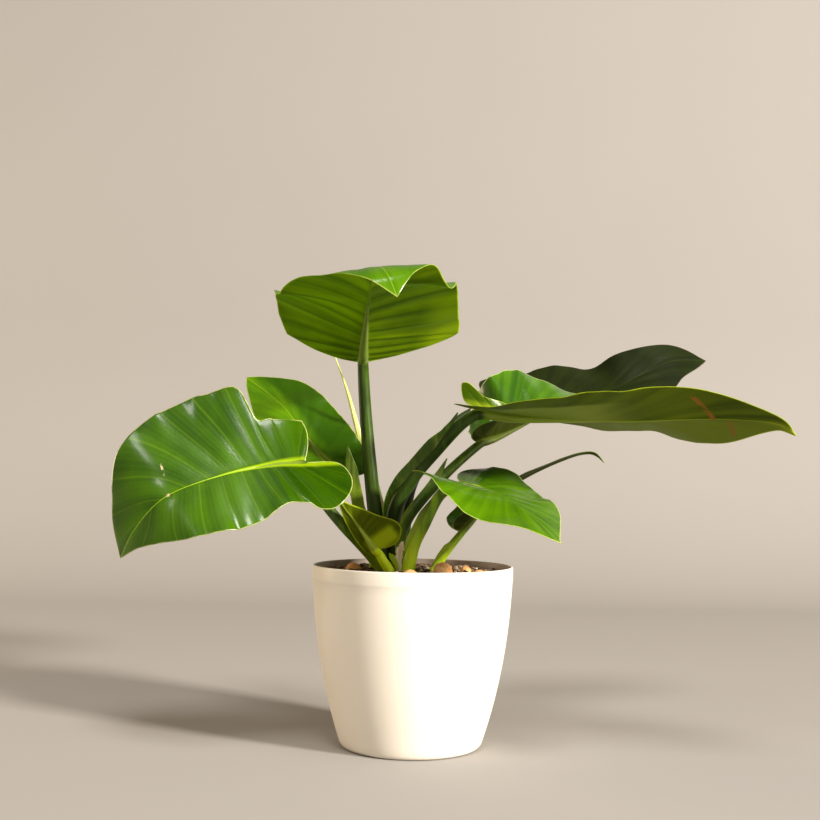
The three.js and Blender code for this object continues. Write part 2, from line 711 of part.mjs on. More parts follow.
// Everything that stands or lies in the soil takes its own hole out of it
function soilGeometry(noise, pebbles) {
  let soil = soilSolid(noise);
  for (const leaf of LEAVES) soil = soil.subtract(petioleHole(leaf));
  for (const { x, y, z, radius } of pebbles) {
    soil = soil.subtract(toSolid(new THREE.IcosahedronGeometry(radius + 2 * GAP, 1).translate(x, y, z)));
  }
  const [x, y] = CROWN.at;
  soil = soil.subtract(cylinderSolid(x, y, CROWN.radius + GAP, CROWN.bottom - GAP, HOLE_TOP, 12));
  const [spearX, spearY, spearFoot] = SPEAR.points[0];
  const hole = cylinderSolid(spearX, spearY, SPEAR.radii[0] + 1, spearFoot - GAP, HOLE_TOP, 12);
  return toGeometry(soil.subtract(hole));
}

function buildPlant() {
  const plant = new THREE.Group();
  const noise = seededNoise(CRUMB_SEED);
  const pebbles = PEBBLES.map(({ at: [x, y], radius, sunk }) => {
    const z = soilHeight(noise, x, y, RIM_RADIUS) + radius * (1 - 2 * sunk);
    return { x, y, z, radius };
  });
  plant.add(mesh('pot', potGeometry(), COLOURS.pot));
  plant.add(mesh('soil', soilGeometry(noise, pebbles), COLOURS.soil));
  pebbles.forEach(({ x, y, z, radius }, index) => {
    const pebble = mesh(`clay_pebble_${index + 1}`, pebbleGeometry(radius, index), COLOURS.clay);
    pebble.position.set(x, y, z);
    plant.add(pebble);
  });
  const [crownX, crownY] = CROWN.at;
  const crown = cylinderSolid(crownX, crownY, CROWN.radius, CROWN.bottom, CROWN.top, 12);
  plant.add(mesh('crown', toGeometry(crown), COLOURS.crown));
  for (const leaf of LEAVES) plant.add(mesh(leaf.name, toGeometry(leafSolid(leaf)), COLOURS.blade));
  plant.add(mesh('new_leaf_spear', spearGeometry(), COLOURS.spear));
  return plant;
}

export default buildPlant();
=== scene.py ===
# A potted Imperial Green philodendron: the looks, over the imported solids.
# Shapes are worked out in millimetres and made in metres, +Z up, in the pot's frame.
import math
import random
from functools import cache

import bmesh
import bpy
import numpy as np
from mathutils import Matrix, Vector, noise


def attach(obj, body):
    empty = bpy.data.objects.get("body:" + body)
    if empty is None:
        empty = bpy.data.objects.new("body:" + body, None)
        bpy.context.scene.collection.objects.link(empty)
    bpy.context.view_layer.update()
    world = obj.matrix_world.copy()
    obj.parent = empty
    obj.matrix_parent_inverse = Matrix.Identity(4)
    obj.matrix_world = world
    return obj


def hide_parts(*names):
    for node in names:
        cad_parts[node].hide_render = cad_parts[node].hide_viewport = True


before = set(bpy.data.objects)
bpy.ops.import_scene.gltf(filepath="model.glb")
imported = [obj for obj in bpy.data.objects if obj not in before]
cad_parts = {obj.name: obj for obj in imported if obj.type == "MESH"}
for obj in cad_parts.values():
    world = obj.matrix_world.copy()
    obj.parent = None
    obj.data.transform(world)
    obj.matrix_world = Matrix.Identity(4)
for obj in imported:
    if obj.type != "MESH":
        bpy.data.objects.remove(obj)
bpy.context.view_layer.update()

MM = 0.001

# Driving dimensions of the pot, as in the solids
POT_HEIGHT = 129
RIM_RADIUS = 73
LIP_HEIGHT = 11
LIP_STEP = 0.35
WALL = 2
FLOOR = 3.5
FOOT_RADIUS = 46.5
FOOT_CORNER = 5
CORNER_PULL = 3.4
LIP_ROUNDING = 0.9
INNER_ROUNDING = 0.6
WALL_BULGE = (69.4, 55.5)

# Driving dimensions of the soil and what lies on it
SOIL_LEVEL = 124
MOUND_HEIGHT = 1.5
CRUMB_SEED = 11
# Crumbs: how wide and how high they are, and where their noise starts
CRUMBS = [(7, 1.6, 0, 0), (3.1, 0.96, 0, 0)]
FINE_CRUMBS = [(1.3, 0.7, 40, 0), (0.6, 0.35, 0, 30)]
SOIL_GAP = 0.3
SOIL_EDGE = RIM_RADIUS - LIP_STEP - WALL - SOIL_GAP - 0.4
HOLE_DEPTH = 12
# Each pebble's place, radius and share below the soil
PEBBLES = [
    ((21, -31), 7.2, 0.35),
    ((38, -14), 4.2, 0.4),
    ((-43, -4), 6, 0.5),
    ((-8, 47), 6.5, 0.5),
    ((46, -38), 5.5, 0.5),
    ((-2, -52), 6.2, 0.6),
]
# A pebble's lumps: how many there are to its radius, and how high they are
PEBBLE_LUMPS = [(1.3, 0.05), (5, 0.022), (13, 0.012)]
# What is scattered on the soil: half of each lump's width, and how flat it is
CHIPS = {"count": 620, "sizes": (0.8, 2.4), "flat": (0.3, 0.6), "seed": 7}
BEADS = {"count": 26, "sizes": (0.8, 1.5), "flat": (0.7, 0.9), "seed": 21}
# How far out it lies
LITTER_REACH = 69

# Driving dimensions that all leaves share
BLADE_THICKNESS = 0.6
TIP_THICKNESS = 0.3
RIB_HEIGHT = 1
BLADE_ROWS = 110
BLADE_COLUMNS = [
    0, 0.012, 0.03, 0.055, 0.09, 0.14, 0.2, 0.27, 0.35, 0.44, 0.53, 0.62, 0.71, 0.8, 0.88, 0.94, 0.98, 1,
]
VEINS = 13
VEIN_SWEEP = 0.09
VEIN_OFFSET = 0.45
GROOVE_DEPTH = 0.35
GROOVE_WIDTH = 1.1
# Small waves on the main one: how many, at which phase and how high
FINE_WAVES = [(2.7, 1.3, 0.35), (4.9, 0.4, 0.2)]
NO_CURL = [[0, 0]] * 2
RIDGE_END = 0.45
SHEATH_THICKNESS = 1.1

# Halves of a flat blade, as in the solids: across in half-widths, along in lobe lengths
# behind the junction and in blade lengths before it. Each also has (0, 0) first and (0, 1) last.
OUTLINES = {
    "ovate": [
        (0.14, -0.6), (0.4, -1), (0.7, -0.78), (0.92, 0.02), (1, 0.16), (1, 0.27), (0.94, 0.41),
        (0.82, 0.55), (0.65, 0.69), (0.44, 0.81), (0.22, 0.92), (0.07, 0.975),
    ],
    "broad": [
        (0.14, -0.6), (0.4, -1), (0.66, -0.8), (0.84, -0.1), (0.93, 0.1), (1, 0.28), (1, 0.44), (0.93, 0.58),
        (0.78, 0.72), (0.55, 0.84), (0.3, 0.93), (0.1, 0.98),
    ],
    "drip": [
        (0.14, -0.6), (0.4, -1), (0.66, -0.8), (0.84, -0.1), (0.93, 0.1), (1, 0.28), (1, 0.44), (0.95, 0.57),
        (0.79, 0.7), (0.5, 0.82), (0.2, 0.92), (0.05, 0.97),
    ],
    "swept": [
        (0.12, -0.5), (0.4, -0.95), (0.68, -0.8), (0.87, -0.15), (0.98, 0.06), (1.02, 0.17), (1.02, 0.29),
        (0.95, 0.41), (0.83, 0.55), (0.66, 0.68), (0.41, 0.82), (0.15, 0.93),
    ],
    "pinched": [
        (0.12, -0.7), (0.42, -1), (0.46, -0.7), (0.28, -0.1), (0.24, 0.08), (0.5, 0.2), (0.86, 0.34),
        (1, 0.49), (1, 0.62), (0.84, 0.73), (0.5, 0.84), (0.2, 0.93),
    ],
    "sloped": [
        (0.2, -0.2), (0.46, 0), (0.7, 0.06), (0.88, 0.14), (0.97, 0.24), (1, 0.36), (0.99, 0.48),
        (0.92, 0.6), (0.77, 0.72), (0.55, 0.84), (0.3, 0.93), (0.1, 0.98),
    ],
    "wide": [
        (0.12, -0.5), (0.38, -0.95), (0.66, -1), (0.92, -0.8), (1.03, -0.2), (1.04, 0.04), (0.97, 0.17),
        (0.91, 0.31), (0.84, 0.46), (0.76, 0.6), (0.6, 0.74), (0.32, 0.89),
    ],
    "arrow": [
        (0.2, -0.6), (0.5, -1), (0.75, -0.8), (0.95, -0.1), (1, 0.08), (0.95, 0.18), (0.84, 0.29),
        (0.7, 0.4), (0.55, 0.52), (0.4, 0.65), (0.25, 0.78), (0.1, 0.92),
    ],
    "eared": [
        (0.03, -0.7), (0.3, -1), (0.6, -0.95), (0.86, -0.6), (0.88, -0.2), (0.76, 0.04), (0.8, 0.13),
        (0.96, 0.25), (1, 0.38), (0.93, 0.54), (0.72, 0.7), (0.3, 0.87),
    ],
    "shouldered": [
        (0.2, -0.5), (0.36, -0.5), (0.5, 0.05), (0.54, 0.13), (0.56, 0.18), (0.95, 0.23), (0.98, 0.33),
        (1, 0.47), (0.93, 0.59), (0.76, 0.72), (0.5, 0.84), (0.24, 0.93),
    ],
}

# The leaves, as in the solids. Each petiole goes on to where its midrib starts. Pairs are for the two
# sides, apart from the radius: the petiole's at its foot and its neck. Along the midrib, faces says
# where the blade faces, and fold and curl how far it bends up, in degrees. The wave is the margin's:
# height, count and phase. The relief is how high the blade rises between its side veins. Skin and
# stem are kinds of colour.
LEAVES = {}
LEAVES["leaf_left_front"] = dict(
    petiole=[
        [-22, -11, 121], [-25, -11, 130], [-38, -17, 145], [-50, -25, 158], [-63, -33, 174], [-73, -39, 190],
    ],
    radius=[4.6, 3.2],
    sheath=[[-22, -11, 132], [-28, -13, 141], [-36, -18, 149], [-43, -22, 156]],
    sheath_width=4, sheath_out=[1, 0, 1],
    midrib=[
        [-76, -42, 202], [-99, -46, 200], [-133, -53, 192], [-169, -60, 177], [-191, -55, 154],
        [-202, -47, 134],
    ],
    faces=[[0.1, -0.85, 0.5], [-0.05, -0.85, 0.5], [-0.5, -0.8, 0.2]],
    width=[47, 66], lobe=[30, 6], outline=["eared", "shouldered"],
    fold=[[10, 5, 0]] * 2,
    wave=[2, 2.5, 0], relief=0.55, skin="fresh", stem="green",
)
LEAVES["leaf_left_back"] = dict(
    petiole=[[-28, 17, 121], [-30, 14, 140], [-36, 6, 160], [-41, 2, 176], [-47, 3, 190]],
    radius=[4.2, 3],
    sheath=[[-38, 2, 140], [-39, -3, 161], [-41, -5, 176], [-45, -5, 194], [-49, -5, 215]],
    sheath_width=9, sheath_out=[1, 0, 0],
    midrib=[[-59, 8, 198], [-80, 28, 219], [-92, 40, 235], [-107, 54, 251], [-136, 78, 272]],
    faces=[[0.1, -0.8, 0.6]] * 3,
    width=[34, 33], lobe=[18, 18], outline=["ovate", "broad"],
    fold=[[10, 5, 0]] * 2,
    wave=[1.5, 2, 0.3], relief=0.3, skin="bright", stem="green",
)
LEAVES["leaf_top"] = dict(
    petiole=[[-23, 3, 121], [-26, 1, 150], [-31, -3, 190], [-36, -7, 240]],
    radius=[6.2, 4],
    midrib=[
        [-38, -14, 276], [-36, -45, 292], [-33, -80, 305], [-29, -125, 315], [-24, -150, 320],
        [-18, -168, 312], [-12, -172, 298],
    ],
    faces=[[0, 0.4, 0.9], [0, 0.1, 1], [0, -0.9, 0.3]],
    width=[72, 65], lobe=[5, 9], outline=["wide", "swept"],
    fold=[[22, 17, 15, -6, -12], [22, 21, 9, 2, 10]],
    curl=[[0, -10, -10], [0, -10, 0]],
    wave=[2, 2.5, 0.1], relief=1.1, skin="bright", stem="dark",
)
LEAVES["leaf_right_back"] = dict(
    petiole=[[-3, 21, 121], [-6, 22, 150], [-2, 25, 185], [15, 33, 216], [36, 43, 239]],
    radius=[4.6, 3.3],
    sheath=[[-3, 19, 128], [-7, 19, 160], [-4, 22, 185], [9, 29, 214]],
    sheath_width=6, sheath_out=[-1, 0, 1],
    midrib=[[67, 56, 256], [112, 66, 256], [159, 74, 267], [184, 78, 279], [208, 80, 290], [236, 82, 291]],
    faces=[[0, -0.5, 0.9], [0, -0.6, 0.8], [0.1, -0.9, 0.4]],
    width=[42, 36], lobe=[12, 16], outline=["ovate", "broad"],
    fold=[[2, 6, 9, -2, 8, 5, -5], [0, 0, 0, 0, 6]],
    wave=[1.5, 2, 0.6], relief=0.5, skin="deep", stem="dark",
)
LEAVES["leaf_right_front"] = dict(
    petiole=[[-12, 9, 121], [-14, 3, 165], [-2, -2, 191], [17, -8, 214], [35, -14, 233]],
    radius=[6.5, 4.2],
    sheath=[
        [-15, 7, 128], [-18, 6, 150], [-18, 3, 172], [-11, -4, 189], [0, -8, 202], [12, -12, 216],
        [23, -14, 227], [31, -16, 240],
    ],
    sheath_width=9, sheath_out=[-1, 0, 1],
    midrib=[
        [47, -18, 242], [88, -40, 236], [140, -62, 233], [192, -88, 234], [230, -108, 231], [243, -114, 222],
    ],
    faces=[[0, 0.22, 1], [0, 0.6, 0.8], [0, 0.6, 0.8]],
    width=[42, 44], lobe=[20, 9], outline=["pinched", "drip"],
    fold=[[85, 15, 24, 26, 12, 4, 0], [-7, -10, -13, -9, -3, 0, 0]],
    wave=[1.5, 2, 0.2], relief=0.35, skin="olive", stem="dark",
)
LEAVES["leaf_right_middle"] = dict(
    petiole=[[-6, -7, 121], [-9, -9, 147], [-4, -9, 163], [8, -7, 179], [19, -3, 191], [31, 1, 203]],
    radius=[4.6, 3.2],
    sheath=[[-8, -10, 129], [-9, -12, 151], [-4, -12, 165], [5, -10, 177], [15, -7, 190], [24, -4, 207]],
    sheath_width=7, sheath_out=[-1, 0, 1],
    midrib=[[47, 6, 220], [67, 10, 227], [89, 14, 237], [117, 18, 247], [143, 22, 250]],
    faces=[[0, -0.3, 0.95]] * 3,
    width=[46, 26], lobe=[4, 6], outline=["sloped", "ovate"],
    fold=[[5, 36, 54, 42, 25, 10, 5], [50, 50, 10]],
    wave=[1.5, 2, 0.2], relief=0.3, skin="shaded", stem="green",
)
LEAVES["leaf_right_low"] = dict(
    petiole=[[-4, -18, 121], [0, -18, 143], [8, -20, 160], [17, -24, 178], [25, -28, 185]],
    radius=[5.4, 3.4],
    sheath=[[-6, -18, 129], [-3, -21, 145], [4, -23, 161], [12, -26, 177]],
    sheath_width=6, sheath_out=[-1, 0, 0.6],
    midrib=[[34, -34, 189], [48, -48, 186], [65, -64, 178], [83, -82, 164], [96, -94, 151]],
    faces=[[-0.2, -0.1, 1], [0.1, -0.2, 1], [0.4, -0.4, 0.9]],
    width=[36, 44], lobe=[16, 26], outline=["drip", "ovate"],
    fold=[[10, 0, 0], [22, -12, 0]],
    wave=[1.2, 2, 0], relief=0.35, skin="plain", stem="lush",
)
LEAVES["leaf_right_slim"] = dict(
    petiole=[[13, -12, 121], [19, -11, 132], [26, -10, 142]],
    radius=[3.8, 2.6],
    sheath=[[15, -13, 129], [18, -13, 134], [23, -13, 141], [27, -12, 147]],
    sheath_width=5, sheath_out=[-1, 0, 1],
    midrib=[[34, -8, 155], [51, -6, 172], [78, 0, 192], [109, 6, 207], [131, 10, 213], [142, 10, 206]],
    faces=[[-0.15, 0.02, 1], [-0.5, 0.06, 0.85], [-0.3, 0.15, 0.9]],
    width=[18, 14], lobe=[3, 3], outline=["ovate", "ovate"],
    fold=[[50, 10, 0], [45, 10, 0]],
    wave=[1, 2, 0], relief=0.12, skin="shaded", stem="lush",
)
LEAVES["leaf_front_small"] = dict(
    petiole=[[-16, -22, 121], [-17, -22, 127], [-21, -23, 133], [-24, -24, 138]],
    radius=[4, 3],
    sheath=[[-11, -23, 127], [-13, -24, 133], [-17, -25, 139]],
    sheath_width=4, sheath_out=[1, 0, 0],
    midrib=[[-27, -25, 142], [-36, -30, 154], [-43, -36, 164], [-49, -42, 172], [-53, -45, 177]],
    faces=[[0, 0.9, 0.3]] * 3,
    width=[24, 8], lobe=[6, 4], outline=["arrow", "ovate"],
    fold=[[10, 5, 0]] * 2,
    wave=[0.8, 2, 0], relief=0.15, skin="olive", stem="lime",
)

CROWN = {"at": (-14.5, -3.5), "radius": 3, "heights": (108, 114, 120, 125)}
SPEAR = {
    "points": [
        (-16, 20, 112), (-17, 20, 140), (-24, 23, 170), (-32, 27, 196), (-41, 33, 221), (-52, 28, 259),
        (-62, 20, 286),
    ],
    "radii": (2.4, 2.8, 0.5),
}


# Curves and small sums

def unit(rows):
    return rows / np.maximum(np.linalg.norm(rows, axis=-1, keepdims=True), 1e-9)


def smoothstep(value, low, high):
    t = np.clip((value - low) / (high - low), 0, 1)
    return t * t * (3 - 2 * t)


def between(values, s):
    """Value between evenly spaced ones, for s from 0 to 1."""
    values = np.asarray(values, float)
    place = np.asarray(s, float) * (len(values) - 1)
    index = np.minimum(place.astype(int), len(values) - 2)
    share = smoothstep(place - index, 0, 1)
    if values.ndim > 1:
        share = share[..., None]
    return values[index] + (values[index + 1] - values[index]) * share


class Curve:
    """A smooth curve through points, in millimetres."""

    def __init__(self, points):
        rows = np.array(points, float)
        self.count = len(rows)
        self.rows = np.vstack([2 * rows[:1] - rows[1:2], rows, 2 * rows[-1:] - rows[-2:-1]])
        self.steps = np.linspace(0, 1, 401)
        places = self.point(self.steps)
        self.reach = np.append(0, np.cumsum(np.linalg.norm(np.diff(places, axis=0), axis=1)))
        self.length = self.reach[-1]

    def point(self, t):
        place = np.clip(np.asarray(t, float), 0, 1) * (self.count - 1)
        index = np.minimum(place.astype(int), self.count - 2)
        w = (place - index)[..., None]
        before, start, end, after = (self.rows[index + k] for k in range(4))
        leave, arrive = 0.5 * (end - before), 0.5 * (after - start)
        return (
            start
            + leave * w
            + (3 * (end - start) - 2 * leave - arrive) * w ** 2
            + (2 * (start - end) + leave + arrive) * w ** 3
        )

    def at(self, s):
        """Points at shares of the length."""
        return self.point(np.interp(np.asarray(s) * self.length, self.reach, self.steps))

    def tangent(self, s):
        s = np.asarray(s, float)
        step = 0.002
        return unit(self.at(np.minimum(s + step, 1)) - self.at(np.maximum(s - step, 0)))


def seeded_noise(seed):
    """Smooth noise from seeded values on a square grid, as in the solids."""
    def value(x, y):
        sine = np.sin(x * 127.1 + y * 311.7 + seed * 74.7) * 43758.5453
        return sine - np.floor(sine)

    def sample(x, y):
        x0, y0 = np.floor(x), np.floor(y)
        u, v = smoothstep(x - x0, 0, 1), smoothstep(y - y0, 0, 1)
        near = value(x0, y0) * (1 - u) + value(x0 + 1, y0) * u
        far = value(x0, y0 + 1) * (1 - u) + value(x0 + 1, y0 + 1) * u
        return near * (1 - v) + far * v

    return sample


# Meshes

def new_object(name, data):
    thing = bpy.data.objects.new(name, data)
    bpy.context.scene.collection.objects.link(thing)
    return thing


def make_piece(name, points, faces, materials, face_materials=(), values=None):
    """A mesh object from points in millimetres, with its materials and named values per point."""
    mesh = bpy.data.meshes.new(name)
    mesh.from_pydata((np.asarray(points) * MM).tolist(), [], faces)
    for one in materials:
        mesh.materials.append(one)
    if face_materials:
        mesh.polygons.foreach_set("material_index", face_materials)
    for key, numbers in (values or {}).items():
        layer = mesh.attributes.new(key, "FLOAT", "POINT")
        layer.data.foreach_set("value", np.asarray(numbers, np.float32))
    mesh.shade_smooth()
    mesh.update()
    return new_object(name, mesh)


def dress(piece, node=None):
    """Fixes a piece to the body. It may stand for a node of the solids."""
    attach(piece, "root")
    if node:
        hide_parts(node)


def closed_faces(rings, sides):
    """Quads between rings of points that follow one another, and a cap at each end, whose middle points
    come after the rings."""
    faces = []
    last = rings * sides
    start, end = last + sides, last + sides + 1
    for side in range(sides):
        following = (side + 1) % sides
        for ring in range(0, last, sides):
            a, b = ring + side, ring + following
            faces.append((a, b, b + sides, a + sides))
        faces.append((start, following, side))
        faces.append((end, last + side, last + following))
    return faces


def sweep(curve, wish, section, rings, sides):
    """Points and faces of a closed sweep, and how far along it each point lies, in millimetres.
    section(s, turn) gives how far the skin lies from the curve, along the direction wished for and
    across it."""
    s = np.linspace(0, 1, rings + 1)
    tangent = curve.tangent(s)
    wish = np.array(wish, float)
    out = unit(wish - (tangent @ wish)[:, None] * tangent)
    aside = np.cross(tangent, out)
    turn = 2 * np.pi * np.arange(sides) / sides
    broad, thick = section(s[:, None], turn[None, :])
    points = (
        curve.at(s)[:, None]
        + out[:, None] * (broad * np.cos(turn))[..., None]
        + aside[:, None] * (thick * np.sin(turn))[..., None]
    ).reshape(-1, 3)
    points = np.vstack([points, curve.at([0, 1])])
    along = curve.length * np.append(np.repeat(s, sides), [0, 1])
    return points, closed_faces(rings, sides), along


def lathe(profile, sides):
    """Points and faces of a profile turned about Z. Its ends lie on the axis."""
    turn = 2 * np.pi * np.arange(sides) / sides
    points = [(x * math.cos(a), x * math.sin(a), z) for x, z in profile[1:-1] for a in turn]
    points += [(0, 0, profile[0][1]), (0, 0, profile[-1][1])]
    return points, closed_faces(len(profile) - 3, sides)


# Leaves

class Blade:
    """One leaf's blade as a surface over the flat leaf."""

    def __init__(self, name, leaf):
        self.name = name
        self.leaf = leaf
        self.spine = Curve(leaf["midrib"])
        self.length = self.spine.length
        self.margins = [
            Curve([(*place, 0) for place in [(0, 0), *OUTLINES[shape], (0, 1)]])
            for shape in leaf["outline"]
        ]

    def flat(self, side, station, column):
        """The flat place of a grid point: across from the midrib and along from the junction."""
        margin = self.margins[side].point(station)
        across, along = margin[..., 0], margin[..., 1]
        along = along * np.where(along < 0, self.leaf["lobe"][side], self.length)
        rib_along = self.length * station ** 2
        return column * across * self.leaf["width"][side], rib_along + (along - rib_along) * column

    def point(self, side, across, along):
        """Where the blade's middle surface lies, for a flat place."""
        leaf = self.leaf
        s = np.clip(along / self.length, 0, 1)
        tangent = self.spine.tangent(s)
        faces = between(leaf["faces"], s)
        normal = unit(faces - (faces * tangent).sum(-1, keepdims=True) * tangent)
        out = np.cross(tangent, normal) * (1 if side else -1)
        reach = across / leaf["width"][side]
        curl = between(leaf.get("curl", NO_CURL)[side], s)
        bend = np.radians(between(leaf["fold"][side], s) + 0.5 * reach * curl)
        height, count, phase = leaf["wave"]
        wave = 2 * np.pi * (count * along / self.length + phase + side / 2)
        fine = sum(high * np.sin(times * wave + start) for times, start, high in FINE_WAVES)
        ripple = height * (reach ** 2 * np.sin(wave) + reach ** 6 * fine)
        return (
            self.spine.at(s)
            + tangent * np.minimum(along, 0)[..., None]
            + out * (across * np.cos(bend))[..., None]
            + normal * (across * np.sin(bend) + ripple)[..., None]
        )

    def normal(self, side, across, along):
        step = 0.5
        centre = self.point(side, across, along)
        outward = self.point(side, across + step, along) - centre
        forward = self.point(side, across, along + step) - centre
        return unit(np.cross(outward, forward)) * (1 if side else -1)

    def rib_normal(self, along):
        zero = np.zeros_like(along)
        return unit(self.normal(0, zero, along) + self.normal(1, zero, along))


def vein_count(side, station, column):
    """Counts the side veins from the junction on, so that each whole number is a vein. They lean
    towards the tip as they leave the midrib."""
    lean = VEIN_SWEEP * column * (1.3 - 0.5 * column) * smoothstep(station, 0.12, 0.5)
    return VEINS * (station - lean) + VEIN_OFFSET * side


def margin_distance(blade, side, across, along):
    """How far each flat place lies from the margin, in millimetres."""
    margin_across, margin_along = blade.flat(side, np.linspace(0, 1, 300), 1.0)
    apart = np.hypot(across[..., None] - margin_across, along[..., None] - margin_along)
    return apart.min(-1)


def half_blade(blade, side):
    """One half's grid: where its middle surface lies, its normal, how far the midrib stands out below,
    half its thickness, and what its skins need to know."""
    stations = np.linspace(0, 1, BLADE_ROWS + 1)[1:-1, None]
    station, column = np.broadcast_arrays(stations, np.array(BLADE_COLUMNS)[None, :])
    across, along = blade.flat(side, station, column)
    normal = blade.normal(side, across, along)
    normal[:, 0] = blade.rib_normal(along[:, 0])
    vein = vein_count(side, station, column)
    valley = np.abs(np.sin(np.pi * vein)) ** 0.6 - 0.62
    fade = smoothstep(column, 0.02, 0.3) * (1 - 0.75 * smoothstep(column, 0.55, 1))
    fade = fade * smoothstep(1 - station, 0.02, 0.2)
    relief = blade.leaf["relief"] * valley * fade
    groove = -GROOVE_DEPTH * np.exp(-((across / GROOVE_WIDTH) ** 2)) * (1 - 0.7 * station)
    rib_width = 0.7 + 1.3 * (1 - station)
    rib = (0.25 + RIB_HEIGHT * (1 - station)) * np.exp(-((across / rib_width) ** 2))
    return {
        "place": blade.point(side, across, along) + normal * (relief + groove)[..., None],
        "normal": normal,
        "below": rib - groove * 0.7,
        "half": 0.5 * BLADE_THICKNESS * (1 - 0.6 * smoothstep(column, 0.85, 1)),
        "vein": vein,
        "edge": margin_distance(blade, side, across, along),
        "across": across * (1 if side else -1),
        "along": along,
        "station": station,
    }


def blade_net(rows, wide):
    """Faces of a grid of points with one more point at each end, and the points round its rim."""
    junction, tip = rows * wide, rows * wide + 1
    last = junction - wide
    net = []
    for column in range(wide - 1):
        net.append((junction, column, column + 1))
        net.append((tip, last + column + 1, last + column))
        for a in range(column, last, wide):
            net.append((a, a + wide, a + wide + 1, a + 1))
    return net, [junction, *range(0, junction, wide), tip, *range(junction - 1, 0, -wide)]


def blade_piece(blade):
    """Both halves side by side, with an upper and a lower surface, closed along the margin."""
    leaf = blade.leaf
    halves = [half_blade(blade, side) for side in (0, 1)]
    grids = {key: np.hstack([halves[0][key][:, :0:-1], halves[1][key]]) for key in halves[0]}
    upper = grids["place"] + grids["normal"] * grids["half"][..., None]
    lower = grids["place"] - grids["normal"] * (grids["half"] + grids["below"])[..., None]
    ends = blade.spine.at([0, 1])
    lift = 0.5 * TIP_THICKNESS * blade.rib_normal(np.array([0, blade.length]))
    upper = np.vstack([upper.reshape(-1, 3), ends + lift])
    lower = np.vstack([lower.reshape(-1, 3), ends - lift])
    count = len(upper)
    net, rim = blade_net(*grids["station"].shape)
    faces = [tuple(reversed(face)) for face in net]
    faces += [tuple(point + count for point in face) for face in net]
    faces += [(a, b, b + count, a + count) for a, b in zip(rim, rim[1:] + rim[:1])]
    face_materials = [0] * len(net) + [1] * (len(net) + len(rim))
    at_ends = dict(vein=(0, VEINS), edge=(1, 0), across=(0, 0), along=(0, blade.length), station=(0, 1))
    values = {key: np.tile([*grids[key].ravel(), *pair], 2) for key, pair in at_ends.items()}
    skins = [leaf_skin(blade.name, leaf["skin"], leaf["radius"][1], above) for above in (True, False)]
    points = np.vstack([upper, lower])
    return make_piece(blade.name + "_blade", points, faces, skins, face_materials, values)


def petiole_curve(blade):
    """Straight down into the soil at its foot, and on as the midrib's ridge."""
    leaf = blade.leaf
    x, y, z = leaf["petiole"][0]
    s = np.array([0, 0.07, 0.16, RIDGE_END])
    sunk = leaf["radius"][1] * (0.8 - 0.7 * s / RIDGE_END)
    ridge = blade.spine.at(s) - blade.rib_normal(s * blade.length) * sunk[:, None]
    return Curve([(x, y, z - HOLE_DEPTH), *leaf["petiole"], *ridge])


def petiole_piece(blade):
    curve = petiole_curve(blade)
    foot, neck = blade.leaf["radius"]
    ridge_start = 1 - RIDGE_END * blade.length / curve.length

    def section(s, turn):
        stem = foot + (neck - foot) * s / ridge_start
        ridge = neck + (0.5 - neck) * (s - ridge_start) / (1 - ridge_start)
        radius = np.where(s < ridge_start, stem, ridge)
        ribs = 0.012 * np.sin(9 * turn) + 0.008 * np.sin(14 * turn + 8 * s)
        return radius * (1 + ribs), radius * (1 + ribs)

    points, faces, along = sweep(curve, (0, 1, 0), section, rings=96, sides=36)
    past = np.clip((along / curve.length - ridge_start) / (1 - ridge_start), 0, 1)
    values = {"along": along, "ridge": past}
    skin = petiole_skin(blade.leaf["stem"], blade.leaf["skin"])
    return make_piece(blade.name + "_petiole", points, faces, [skin], values=values)


def sheath_piece(name, leaf):
    """A thin wing that grows out of the petiole and ends in a free tip."""
    curve = Curve(leaf["sheath"])

    def section(s, turn):
        broad = leaf["sheath_width"] / 2 * np.minimum(np.minimum(0.6 + s, 1), 0.12 + 4 * (1 - s))
        return broad, SHEATH_THICKNESS / 2 * (1 - 0.55 * s) + 0 * turn

    points, faces, along = sweep(curve, leaf["sheath_out"], section, rings=40, sides=20)
    return make_piece(name + "_sheath", points, faces, [sheath_skin()], values={"along": along})


def spear_piece():
    """The new leaf, still rolled up: its outer margin winds round it."""
    curve = Curve(SPEAR["points"])

    def section(s, turn):
        radius = between(SPEAR["radii"], s)
        seam = 1 - 0.16 * np.exp(-((np.mod(turn - 1.2 - 2.6 * s, 2 * np.pi) / 0.35) ** 2))
        return radius * seam, radius * seam

    points, faces, along = sweep(curve, (0, 1, 0), section, rings=120, sides=40)
    return make_piece("new_leaf_rolled", points, faces, [spear_skin()], values={"along": along})


# The pot, the soil and what lies on it

def bezier(start, pull, end, count):
    t = np.linspace(0, 1, count + 1)[:, None]
    start, pull, end = (np.array(place, float) for place in (start, pull, end))
    return (1 - t) ** 2 * start + 2 * t * (1 - t) * pull + t ** 2 * end


def wall_line(count):
    """The pot's outer wall from the foot's corner to the lip."""
    foot = (FOOT_RADIUS + FOOT_CORNER, FOOT_CORNER * 0.7)
    return bezier(foot, WALL_BULGE, (RIM_RADIUS - LIP_STEP, POT_HEIGHT - LIP_HEIGHT), count)


def arc(centre, radius, start, end, count):
    angles = np.radians(np.linspace(start, end, count + 1))
    return [(centre[0] + radius * math.cos(a), centre[1] + radius * math.sin(a)) for a in angles]


